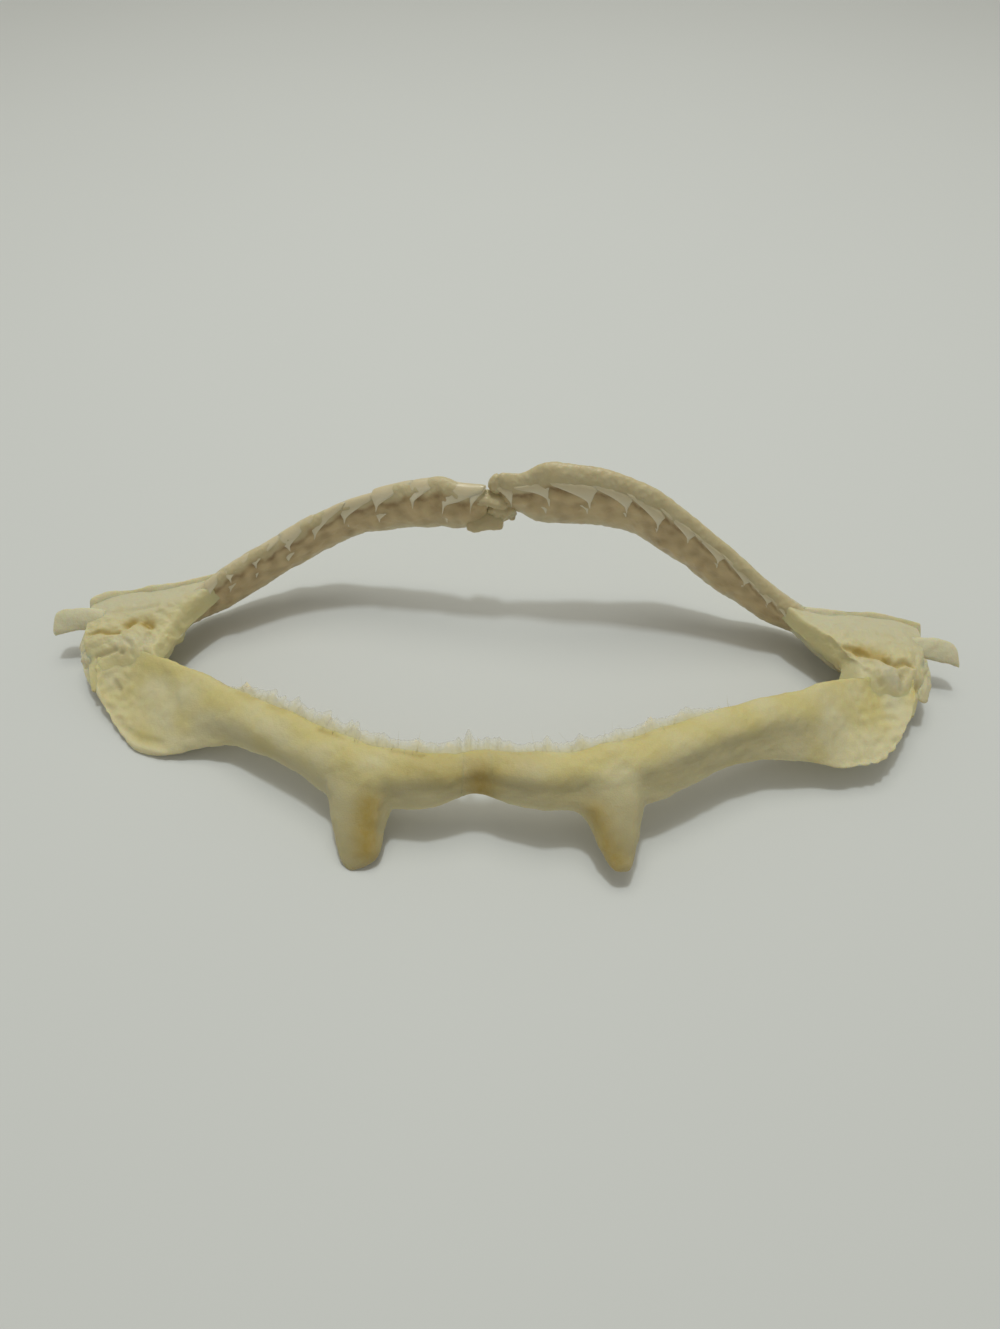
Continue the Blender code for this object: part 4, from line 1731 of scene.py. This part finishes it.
@dataclass(frozen=True)
class ToothFinish(Finish):
    """Tooth: creamy root, whiter half glossy enamel towards the tip, stains and a fine grain."""

    root: Colour = (0.69, 0.59, 0.385)
    enamel: Colour = (0.80, 0.71, 0.52)
    stain: Colour = (0.55, 0.44, 0.26)
    cloud_scale: float = 330.0
    grain_scale: float = 1400.0
    depth: float = 0.00008

    def make(self) -> bpy.types.Material:
        """Build the material.

        Returns:
            The material.
        """
        paint = Paint("tooth_enamel", Subsurface_Weight=0.35, Subsurface_Scale=0.0012,
                      Subsurface_Radius=(1.0, 0.8, 0.55), Specular_IOR_Level=0.6, Coat_Roughness=0.12)
        cloud, grain = paint.noises(self.cloud_scale, self.grain_scale)
        tip = paint.value("tip")
        colour = paint.blend(self.root, self.enamel, tip.spread(0.20, 0.55))
        stained = (1.0 - tip).spread(0.55, 1.0) * cloud.spread(0.45, 0.8) * 0.5
        colour = paint.blend(colour, self.stain, stained)
        paint.feed(paint.shader.inputs["Coat Weight"], tip.spread(0.0, 0.3, 0.1, 0.6))
        return paint.finish(colour, 0.30 + cloud * 0.15, grain, self.depth)


@dataclass(frozen=True)
class MembraneFinish(Finish):
    """Thin torn membrane and fibres: pale, and clearer towards the torn edge."""

    base: Colour = (0.70, 0.63, 0.37)
    edge: Colour = (0.78, 0.745, 0.60)
    cloud_scale: float = 260.0
    grain_scale: float = 1100.0
    depth: float = 0.00012

    def make(self) -> bpy.types.Material:
        """Build the material.

        Returns:
            The material.
        """
        paint = Paint("torn_membrane", Subsurface_Weight=0.3, Subsurface_Scale=0.001,
                      Subsurface_Radius=(1.0, 0.8, 0.5), Specular_IOR_Level=0.4)
        cloud, grain = paint.noises(self.cloud_scale, self.grain_scale)
        tip = paint.value("tip")
        colour = paint.blend(self.base, self.edge, (tip + (cloud - 0.5) * 0.5).spread(0.1, 0.8))
        clear = 0.88 - tip.spread(0.3, 1.0) * (0.55 + grain * 0.25)
        paint.feed(paint.shader.inputs["Alpha"], clear)
        return paint.finish(colour, 0.5 + cloud * 0.15, grain, self.depth)


@dataclass(frozen=True)
class LigamentFinish(Finish):
    """Dried ligament and torn tissue: tan and ochre strands with brown between them, and painted shade in its
    crevices.
    """

    tan: Colour = (0.66, 0.59, 0.33)
    yellow: Colour = (0.685, 0.62, 0.335)
    ochre: Colour = (0.50, 0.375, 0.12)
    pale: Colour = (0.63, 0.59, 0.42)
    dark: Colour = (0.26, 0.18, 0.075)
    cloud_scale: float = 150.0
    grain_scale: float = 800.0
    strand_stretch: Point = (0.2, 2.0, 2.0)
    depth: float = 0.0003

    def make(self) -> bpy.types.Material:
        """Build the material.

        Returns:
            The material.
        """
        paint = Paint("dried_ligament", Subsurface_Weight=0.5, Subsurface_Scale=0.0014,
                      Subsurface_Radius=(1.0, 0.6, 0.25), Specular_IOR_Level=0.4)
        cloud, grain = paint.noises(self.cloud_scale, self.grain_scale, 4.0)
        strand = paint.noise(paint.straight(self.strand_stretch), 1.0, 2.0)
        colour = paint.blend(self.tan, self.yellow, paint.value("warm"))
        colour = paint.blend(colour, self.pale, paint.value("pale") * (0.7 + grain * 0.4))
        colour = paint.blend(colour, self.ochre, cloud.spread(0.5, 0.8) * 0.3 + paint.value("ochre"))
        # Painted shade from the hollow value, plus a faint darkening along the strands.
        shade = paint.value("hollow") * (0.8 + grain * 0.4) + strand.spread(0.55, 0.8) * 0.05
        colour = paint.blend(colour, self.dark, shade.spread(0.0, 1.0))
        return paint.finish(colour, 0.6 - grain * 0.15, grain * 0.6 + strand * 0.5, self.depth)


@dataclass(frozen=True)
class TableFinish(Finish):
    """The plain pale table, with faint clouds."""

    colour: Colour = (0.722, 0.732, 0.73)

    def make(self) -> bpy.types.Material:
        """Build the material.

        Returns:
            The material.
        """
        paint = Paint("pale_table", Specular_IOR_Level=0.15)
        cloud = paint.noise(paint.place(), self.cloud_scale)
        colour = paint.blend(self.colour, tuple(0.96 * part for part in self.colour), cloud)
        return paint.finish(colour, 0.5 + cloud * 0.05, cloud, self.depth)


class Finishes:
    """Every material of the specimen, made once."""

    def __init__(self) -> None:
        """Make them."""
        self.cartilage = CartilageFinish().make()
        self.gum = GumFinish().make()
        self.teeth = ToothFinish().make()
        self.membrane = MembraneFinish().make()
        self.ligament = LigamentFinish().make()
        self.table = TableFinish().make()


def stand(data: bpy.types.ID, place: Point, target: Point) -> bpy.types.Object:
    """Put a camera or light at a place, looking at a target.

    Args:
        data: The camera or light.
        place: Where it goes, m.
        target: What it looks at, m.

    Returns:
        Its object.
    """
    made = bpy.data.objects.new(data.name, data)
    made.location = place
    way = Vector(target) - Vector(place)
    made.rotation_euler = way.to_track_quat("-Z", "Y").to_euler()
    bpy.context.scene.collection.objects.link(made)
    return made


@dataclass(frozen=True)
class Lamp:
    """A round light over the table.

    Attributes:
        name: Its name.
        place: Where it hangs, m.
        size: Its diameter, m.
        power: Its power, W.
        colour: Its colour.
    """

    name: str
    place: Point
    size: float
    power: float
    colour: Colour

    def hang(self) -> None:
        """Hang it over the table, aimed at the specimen."""
        lamp = bpy.data.lights.new(self.name, "AREA")
        lamp.shape = "DISK"
        lamp.size = self.size
        lamp.energy = self.power
        lamp.color = self.colour
        stand(lamp, self.place, (0.0, 0.0, 0.0))


@dataclass(frozen=True)
class Studio:
    """Camera, lights, room and table.

    Attributes:
        camera: Where the camera is, m.
        target: What it looks at, m.
        focal_pixels: Focal length in pixels of a picture as high as picture_height.
        picture_height: Height of the picture, pixels.
        sensor: The camera's sensor along the picture's longer side, mm.
        nearest: The nearest that the camera sees, m.
        table_size: Length of the table's sides, m.
        lamps: The small bright lamp and the large soft one.
        room_light: Strength of the light that the room gives from all sides.
        room_colour: Its colour.
    """

    camera: Point = (0.0, -0.15328, 0.20268)
    target: Point = (0.0, 0.0042, 0.015)
    focal_pixels: float = 850.0
    picture_height: float = 1329.0
    sensor: float = 36.0
    nearest: float = 0.01
    table_size: float = 3.0
    lamps: tuple[Lamp, ...] = (
        Lamp("ceiling_lamp", (0.0, 0.254, 1.2), 0.11, 3.35, (0.90, 0.98, 1.0)),
        Lamp("soft_ceiling", (0.0, 0.45, 1.3), 0.84, 4.6, (1.0, 0.99, 0.88)),
    )
    room_light: float = 0.348
    room_colour: Colour = (1.0, 0.985, 0.87)

    def build(self, finishes: Finishes) -> None:
        """Make all of them.

        Args:
            finishes: The specimen's materials.
        """
        scene = bpy.context.scene
        scene.view_settings.view_transform = "Standard"
        scene.camera = stand(bpy.data.cameras.new("camera"), self.camera, self.target)
        lens = scene.camera.data
        lens.sensor_width = self.sensor
        lens.lens = self.sensor * self.focal_pixels / self.picture_height
        lens.clip_start = self.nearest
        for lamp in self.lamps:
            lamp.hang()
        scene.world = bpy.data.worlds.new("pale_room")
        scene.world.use_nodes = True
        room = scene.world.node_tree.nodes["Background"].inputs
        room["Color"].default_value = (*self.room_colour, 1.0)
        room["Strength"].default_value = self.room_light
        self.table(finishes)

    def table(self, finishes: Finishes) -> None:
        """Lay a square of table top under the specimen.

        Args:
            finishes: The specimen's materials.
        """
        half = self.table_size / 2
        mesh = bpy.data.meshes.new("table_top")
        mesh.from_pydata([(-half, -half, 0), (half, -half, 0), (half, half, 0), (-half, half, 0)],
                         [], [(0, 1, 2, 3)])
        mesh.materials.append(finishes.table)
        top = bpy.data.objects.new("table_top", mesh)
        bpy.context.scene.collection.objects.link(top)


# Ochre stains at the symphysis, with painted shade along them from their hollow values.
SYMPHYSIS_STAINS_AND_SHADE = (Mark(((-4.8, -41.5, 18.0), (-4.8, -44.5, 12.5)), 3.8, -0.1, 0.18, ochre=0.9),
                    Mark(((-20.0, -38.5, 19.5), (6.0, -38.5, 20.0)), 5.0, 0.0, 0.10, ochre=0.3))
# A sunk fold also gets painted shade in cartilage().
SYMPHYSIS_FOLD = Fold(102.0, 22.0, -0.8, 3.4)
FACE_FOLDS = (Fold(78.0, 26.0, 0.4, 6.8), Fold(132.0, 30.0, -0.7, 6.8))


def upper_half(side: Side) -> UpperHalf:
    """One half of the upper jaw with its own marks.

    Args:
        side: Which half.

    Returns:
        The sub-assembly.
    """
    if side is Side.LEFT:
        bar = Bar(UPPER_LEFT, side, LEG_LEFT)
        last, fringe_end, seed = 6.8, 5.8, 31
        marks = (
            *SYMPHYSIS_STAINS_AND_SHADE,
            # hollow on the marks below is painted shade in grooves and pits and under the leg.
            Mark(((-113.2, -0.9, 7.6), (-111.8, -2.4, 6.8)), 0.8, -0.7, hollow=0.4),
            Mark(((-115.4, 1.0, 9.0), (-114.2, -1.6, 7.6)), 2.6, 0.3, pale=0.6),
            Mark(((-96.5, 3.0, 15.0), (-95.2, 0.0, 14.8), (-89.5, -10.9, 12.4), (-87.5, -20.6, 6.6)),
                 2.6, 0.3),
            # Painted highlight along the lobe's thin rim.
            Mark(((-118.4, -2.0, 7.6), (-115.5, -8.5, 4.8), (-110.5, -14.5, 2.6), (-104.0, -19.2, 1.6),
                  (-95.0, -22.2, 2.4)), 0.9, 0.45, pale=0.5),
            Mark(((-113.4, -8.8, 5.2), (-108.4, -13.8, 3.2), (-103.0, -17.2, 2.4), (-96.0, -19.4, 3.4)),
                 1.2, -0.5, hollow=0.12),
            Mark(((-33.6, -46.5, 14.8), (-34.2, -54.2, 5.4)), 3.8, ochre=0.95),
            # Painted shade under the leg tip.
            Mark(((-39.5, -57.5, 0.5), (-31.0, -56.5, 2.5)), 2.6, hollow=0.22),
            Mark(((-47.0, -27.0, 21.0), (-41.0, -29.5, 22.5)), 1.1, -0.3, ochre=0.5, hollow=0.12),
            Mark(((-27.5, -34.5, 22.5), (-20.0, -36.0, 22.5)), 1.0, -0.3, ochre=0.45, hollow=0.12),
            Mark(((-62.0, -18.0, 19.5), (-58.0, -20.0, 20.0)), 1.4, ochre=0.35),
            Mark(((-72.0, -12.5, 18.5), (-67.5, -15.0, 18.8)), 1.2, ochre=0.35),
        )
        folds = (SYMPHYSIS_FOLD, *FACE_FOLDS)
    else:
        bar = Bar(UPPER_RIGHT, side, LEG_RIGHT)
        last, fringe_end, seed = 7.8, 5.6, 41
        marks = (
            *SYMPHYSIS_STAINS_AND_SHADE,
            Mark(((111.8, -8.5, 14.1), (110.5, -12.0, 13.2)), 2.4, 0.3, pale=0.5),
            Mark(((96.5, -7.0, 17.0), (94.5, -16.0, 14.5), (88.0, -25.0, 11.5)), 2.6, 0.3),
            # Painted highlight along the lobe's thin rim.
            Mark(((117.2, -9.5, 11.8), (114.5, -18.0, 9.6), (109.0, -24.5, 8.6), (102.0, -29.5, 8.2),
                  (93.0, -31.3, 8.6)), 0.9, 0.4, pale=0.45),
            Mark(((108.5, -20.0, 10.5),), 2.0, 0.45), Mark(((103.5, -25.5, 9.5),), 1.8, 0.45),
            Mark(((97.5, -28.2, 9.6),), 2.0, 0.35), Mark(((112.0, -15.5, 11.4),), 1.6, 0.4),
            # hollow on these grooves, and on the leg below, is painted shade.
            Mark(((104.0, -14.2, 13.6), (108.0, -13.6, 13.6), (111.5, -14.0, 12.6)), 0.9, -0.35, hollow=0.12),
            Mark(((105.5, -22.5, 10.6), (101.0, -26.8, 9.8)), 0.8, -0.35, hollow=0.12),
            Mark(((24.0, -49.0, 15.0), (25.5, -54.3, 12.0), (29.0, -58.5, 8.0)), 3.6, ochre=0.8),
            Mark(((33.0, -46.0, 12.0), (33.0, -56.0, 8.0)), 5.0, hollow=0.10),
            Mark(((42.0, -28.0, 24.5), (46.5, -26.0, 24.5)), 1.0, -0.3, ochre=0.5, hollow=0.12),
            Mark(((33.0, -32.0, 24.5), (37.5, -30.5, 24.5)), 1.0, -0.25, ochre=0.45, hollow=0.10),
        )
        folds = (FACE_FOLDS[0], Fold(132.0, 30.0, -0.7, 8.4), Fold(102.0, 22.0, -0.8, 8.4))
    file = ToothFile(bar, 0.1, last)
    rows = (ToothRow(2.2, 6.4, 0.5, 0.5, 0.9), ToothRow(5.6, 5.6, 0.0, 0.35, 0.85))
    gum = Gum(file, -1, rows, over=-14.0, cover=0.72, under=0.0, seed=seed)
    fringe = Fringe(file, 0.05, fringe_end, 46, seed + 3)
    return UpperHalf(side, bar, gum, fringe, marks, folds, seed)


def lower_half(side: Side) -> LowerHalf:
    """One half of the lower jaw with its own marks.

    Args:
        side: Which half.

    Returns:
        The sub-assembly.
    """
    if side is Side.LEFT:
        bar, wing = Bar(LOWER_LEFT, side, rounding=2.6), Bar(WING_LEFT, side)
        file, seed = ToothFile(bar, 0.2, 7.3, shift=11.0, shrink=0.85), 51
        rows = (ToothRow(-0.5, 8.6, 0.0, 0.7, 1.22, sunk=0.4),
                ToothRow(3.0, 8.6, 0.04, 0.1, 1.0, sunk=-1.9, bare=0.80))
        corner = ((-106.0, 14.0, 9.0), (-100.0, 20.0, 10.0), (-92.0, 26.0, 14.0))
    else:
        bar, wing = Bar(LOWER_RIGHT, side, rounding=3.2), Bar(WING_RIGHT, side)
        file, seed = ToothFile(bar, 0.2, 8.3, shift=7.0, shrink=0.66), 61
        rows = (ToothRow(2.2, 8.3, 0.0, 0.8, 1.22, sunk=-0.6, bare=0.26),
                ToothRow(7.0, 6.9, 0.04, 0.1, 1.0, sunk=-2.0, bare=0.84))
        corner = ((107.0, 12.0, 8.0), (98.0, 18.0, 10.0), (88.0, 22.0, 15.0))
    gum = Gum(file, 1, rows, over=40.0, cover=0.97, under=24.0, seed=seed)
    # The pale mark at the corner is painted light: it brightens the shaded end of the bar.
    return LowerHalf(side, bar, wing, gum, (Mark(corner, 7.0, pale=0.8),), seed + 4)


def left_joint() -> Binding:
    """The web between wing, lobe and bar end on the left, with its crevices and its outer hem.

    Returns:
        The piece.
    """
    lines = (
        ((-127.2, 27.8, 11.2), (-121.0, 29.5, 13.0), (-112.0, 29.7, 14.7), (-102.0, 30.5, 16.3),
         (-93.0, 31.9, 16.9), (-86.0, 32.8, 18.0), (-84.6, 33.0, 16.6)),
        ((-127.0, 24.0, 12.0), (-120.0, 24.5, 13.8), (-112.0, 25.0, 15.2), (-103.0, 25.5, 16.8),
         (-94.0, 27.5, 17.8), (-86.8, 29.2, 18.8), (-86.0, 28.6, 14.8)),
        ((-126.0, 20.5, 12.6), (-119.5, 20.6, 14.4), (-112.0, 20.4, 15.4), (-105.0, 20.6, 16.8),
         (-98.5, 22.5, 17.5), (-91.2, 24.8, 17.4), (-90.0, 24.2, 12.8)),
        ((-125.0, 16.5, 13.2), (-119.0, 16.8, 15.0), (-112.0, 17.0, 15.4), (-106.5, 17.5, 16.0),
         (-102.5, 18.5, 15.8), (-97.0, 18.6, 15.8), (-95.0, 17.6, 11.8)),
        ((-124.5, 13.0, 13.2), (-119.0, 13.2, 15.0), (-113.5, 13.0, 15.2), (-108.0, 13.5, 15.4),
         (-104.0, 13.8, 15.0), (-99.6, 13.6, 15.0), (-97.4, 12.8, 11.2)),
        ((-123.8, 9.5, 12.2), (-118.5, 9.8, 14.4), (-113.5, 9.8, 15.0), (-108.5, 10.0, 14.9),
         (-104.0, 10.0, 14.6), (-100.8, 9.6, 14.4), (-98.9, 8.8, 10.8)),
        ((-122.5, 6.0, 9.6), (-118.0, 6.2, 12.1), (-113.0, 6.4, 12.8), (-108.0, 6.5, 14.1),
         (-104.0, 6.4, 14.4), (-101.6, 6.0, 14.2), (-99.9, 5.4, 10.8)),
        ((-121.4, 2.0, 8.6), (-117.6, 2.4, 9.6), (-112.5, 2.8, 8.6), (-107.5, 2.8, 9.6),
         (-103.5, 2.6, 10.8), (-99.5, 2.2, 12.0), (-97.8, 2.0, 9.6)),
        ((-120.2, -2.5, 6.0), (-117.6, -2.0, 6.4), (-112.5, -1.0, 4.4), (-107.5, -1.0, 5.2),
         (-103.5, -1.2, 6.6), (-99.5, -1.5, 8.4), (-97.8, -1.5, 6.2)),
    )
    # hollow on these marks is painted shade in the crevices and pits.
    marks = (
        Mark(((-123.2, 13.0, 14.4), (-119.0, 13.4, 15.0), (-116.6, 12.5, 15.1), (-114.2, 12.6, 15.0)), 0.9,
             -1.3, hollow=0.15, ochre=0.9),
        Mark(((-111.4, 15.5, 15.4), (-110.4, 16.4, 15.4)), 1.3, -1.0, hollow=0.1, ochre=0.8),
        Mark(((-106.4, 15.8, 15.6), (-104.8, 15.0, 15.4)), 1.2, -1.0, hollow=0.1, ochre=0.8),
        Mark(((-112.5, 16.6, 15.4), (-104.6, 16.2, 15.6)), 1.7, -0.5, ochre=0.4),
        Mark(((-119.5, 6.0, 11.6), (-116.0, 6.6, 12.4), (-113.4, 7.2, 13.4)), 0.8, -0.8, hollow=0.3),
        Mark(((-111.4, 6.4, 13.1),), 1.0, -0.9, hollow=0.4),
        Mark(((-112.5, 10.8, 15.0), (-109.0, 8.0, 14.8), (-108.4, 5.0, 13.2)), 0.8, -0.6, hollow=0.08),
        Mark(((-104.6, 12.2, 15.0), (-105.4, 7.6, 14.6), (-103.6, 3.6, 13.2)), 0.9, -0.6, hollow=0.06),
        Mark(((-126.0, 21.6, 12.4), (-112.0, 21.3, 15.3), (-104.0, 21.8, 16.8)), 0.9, -0.35, hollow=0.10),
        Mark(((-112.8, 9.4, 15.0), (-104.0, 9.6, 14.6)), 2.2, 0.35, pale=0.5),
        Mark(((-92.0, 25.0, 18.2), (-98.5, 21.5, 16.5), (-102.0, 18.0, 15.6)), 2.4, 0.3),
    )
    web = Slab(lines, (0.6, 2.0, 3.2, 6.0, 8.5, 8.5, 6.0, 3.0, 1.5),
               (0.9, 0.85, 0.5, 0.2, 0.1, 0.2, 0.1, 0.0, 0.0),
               (0.1, 0.2, 0.5, 0.9, 1.0, 1.0, 0.5, 0.2, 0.1), marks, 71)
    edge = ((-123.6, 15.5, 13.0), (-124.2, 10.5, 11.0), (-122.4, 4.5, 8.2), (-119.2, -1.0, 6.2))
    hem = Strap(edge, 2.2, 0.3, up=(-0.45, -0.3, 0.82), seed=73, pale=0.8)
    return Binding("joint_ligament_left", "jaw_joint_left", (web, hem))


def right_joint() -> Binding:
    """The web between wing, lobe and bar end on the right, with its crevices and outer lumps.

    Returns:
        The piece.
    """
    lines = (
        ((83.6, 22.8, 16.0), (85.0, 22.4, 17.6), (92.0, 20.8, 16.1), (100.0, 19.0, 16.3),
         (110.0, 19.1, 15.1), (120.0, 19.1, 13.1), (127.2, 17.9, 11.1)),
        ((85.6, 20.4, 13.6), (86.8, 20.2, 17.4), (93.0, 17.5, 16.8), (101.0, 15.0, 17.2),
         (110.0, 14.8, 16.2), (119.5, 15.0, 14.4), (126.5, 14.0, 12.4)),
        ((88.6, 16.0, 12.8), (90.0, 15.8, 16.6), (95.0, 13.2, 16.9), (102.0, 10.8, 17.4),
         (110.0, 10.0, 16.8), (118.5, 10.5, 15.4), (125.5, 10.5, 13.0)),
        ((91.8, 12.4, 12.2), (93.4, 12.2, 16.4), (97.6, 9.6, 17.0), (103.0, 6.6, 17.6),
         (110.0, 5.0, 17.6), (117.5, 5.5, 16.4), (124.5, 6.0, 13.6)),
        ((95.2, 8.6, 12.0), (96.8, 8.4, 16.4), (99.4, 5.8, 17.2), (104.0, 2.4, 18.0),
         (110.0, 0.6, 18.0), (117.0, 1.2, 16.8), (123.5, 2.0, 13.2)),
        ((98.0, 4.6, 12.0), (99.4, 4.4, 15.8), (101.2, 1.6, 16.8), (104.5, -1.6, 17.6),
         (110.0, -3.0, 17.8), (116.5, -2.8, 16.4), (122.5, -2.0, 12.2)),
        ((99.8, 1.4, 11.6), (101.0, 1.0, 14.6), (102.6, -2.4, 16.4), (105.0, -5.6, 17.2),
         (110.0, -6.8, 16.2), (115.8, -6.6, 15.4), (121.0, -6.0, 10.8)),
        ((98.1, -3.6, 9.6), (99.5, -4.0, 12.6), (102.0, -8.0, 15.1), (105.0, -10.0, 13.3),
         (110.0, -11.0, 11.8), (115.0, -10.5, 12.3), (119.5, -9.5, 9.2)),
        ((98.7, -9.6, 8.8), (100.0, -10.0, 11.6), (102.5, -12.5, 10.8), (105.0, -14.0, 9.4),
         (110.0, -15.0, 8.6), (115.0, -14.0, 9.6), (118.0, -13.0, 7.6)),
    )
    # hollow on these marks is painted shade in the crevices and pits.
    marks = (
        Mark(((100.2, 4.6, 17.6), (103.4, 2.8, 17.9), (107.0, 0.2, 18.0), (111.0, -1.4, 18.0)), 1.0, -1.2,
             hollow=0.15, ochre=0.9),
        Mark(((104.5, 3.2, 18.0), (109.5, 1.4, 18.0)), 2.1, -0.7, ochre=0.8),
        Mark(((112.8, -1.9, 17.4), (115.4, -0.9, 17.0), (118.0, -1.4, 16.2)), 1.0, -1.2, hollow=0.15,
             ochre=0.8),
        Mark(((104.0, -4.0, 17.4), (107.5, -8.0, 15.8)), 0.9, -0.6, hollow=0.08),
        Mark(((114.0, -4.0, 16.4), (113.0, -9.0, 14.4)), 0.9, -0.7, hollow=0.10),
        Mark(((96.8, 3.2, 15.6), (98.4, 1.4, 14.2)), 0.8, -1.0, hollow=0.45),
        Mark(((101.6, -2.0, 16.6),), 3.2, 0.6, pale=0.5),
        Mark(((109.6, -4.8, 17.4), (112.0, -8.0, 15.4)), 2.8, 0.7, pale=0.9),
        Mark(((106.4, -5.2, 16.6),), 0.9, -0.7, hollow=0.2),
        Mark(((113.4, -5.4, 16.0),), 1.1, -0.8, hollow=0.3, ochre=0.4),
        Mark(((118.6, -6.6, 12.6),), 1.5, -0.6, ochre=0.7, hollow=0.1),
        Mark(((117.0, -3.6, 15.4), (120.5, -3.8, 13.0)), 1.6, 0.6),
        Mark(((119.2, -8.6, 10.0),), 1.4, 0.7, pale=0.4),
        Mark(((121.8, 2.0, 14.2), (122.5, -3.0, 12.0)), 1.6, 0.5, pale=0.4),
    )
    web = Slab(lines, (0.6, 2.0, 3.2, 6.0, 8.5, 9.0, 6.0, 3.0, 1.5),
               (0.9, 0.85, 0.7, 0.4, 0.1, 0.1, 0.1, 0.0, 0.0),
               (0.1, 0.2, 0.4, 0.7, 1.0, 1.0, 0.6, 0.2, 0.1), marks, 81)
    hem = Strap(((123.2, 4.0, 13.6), (123.4, -2.5, 11.4), (120.6, -9.0, 9.2)), 2.0, 0.35,
                up=(0.4, -0.4, 0.82), seed=83, pale=0.7)
    return Binding("joint_ligament_right", "jaw_joint_right", (web, hem))


def small_pieces() -> list[Binding | Rag]:
    """Joints, symphyses and stubs.

    Returns:
        The pieces.
    """
    symphysis = Bridge(Bar(UPPER_LEFT, Side.LEFT), Bar(UPPER_RIGHT, Side.RIGHT), 3.4)
    torn = Binding("lower_symphysis_tissue", "lower_symphysis", (
        Knot((0.4, 43.4, 35.6), (4.2, 2.3, 3.8), (), 91, roughness=0.6),
        Strap(((-10.0, 44.4, 33.0), (-5.0, 43.6, 33.6), (1.0, 43.2, 34.2)), 5.0, 2.4, seed=92, ochre=0.3),
        Strap(((-8.0, 43.2, 41.4), (-4.0, 42.4, 41.6), (-0.5, 42.4, 40.6), (2.0, 43.0, 39.5)), 2.6, 1.6,
              seed=93),
        Knot((-1.2, 43.6, 45.5), (2.0, 2.0, 3.4), (), 96, roughness=0.3),
        Knot((3.6, 43.0, 34.4), (1.8, 1.3, 2.2), (), 94, roughness=0.4),
    ), gum=True)
    return [
        left_joint(), right_joint(), torn,
        Rag("upper_symphysis_tissue", "upper_symphysis", symphysis, SYMPHYSIS_STAINS_AND_SHADE, 0.0, 95,
            (*FACE_FOLDS, SYMPHYSIS_FOLD)),
        Rag("hyoid_rag_left", "hyoid_stub_left", Bar(STUB_LEFT, Side.LEFT), (), 0.9, 97),
        Rag("hyoid_rag_right", "hyoid_stub_right", Bar(STUB_RIGHT, Side.RIGHT), (), 0.9, 98),
    ]


def main() -> None:
    """Load the frame, build every sub-assembly in order, then the studio."""
    logging.basicConfig(level=logging.INFO, format="%(message)s")
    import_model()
    finishes = Finishes()
    for side in Side:
        upper_half(side).build(finishes)
        lower_half(side).build(finishes)
    for part in small_pieces():
        part.build(finishes)
    Studio().build(finishes)


if __name__ == "__main__":
    main()
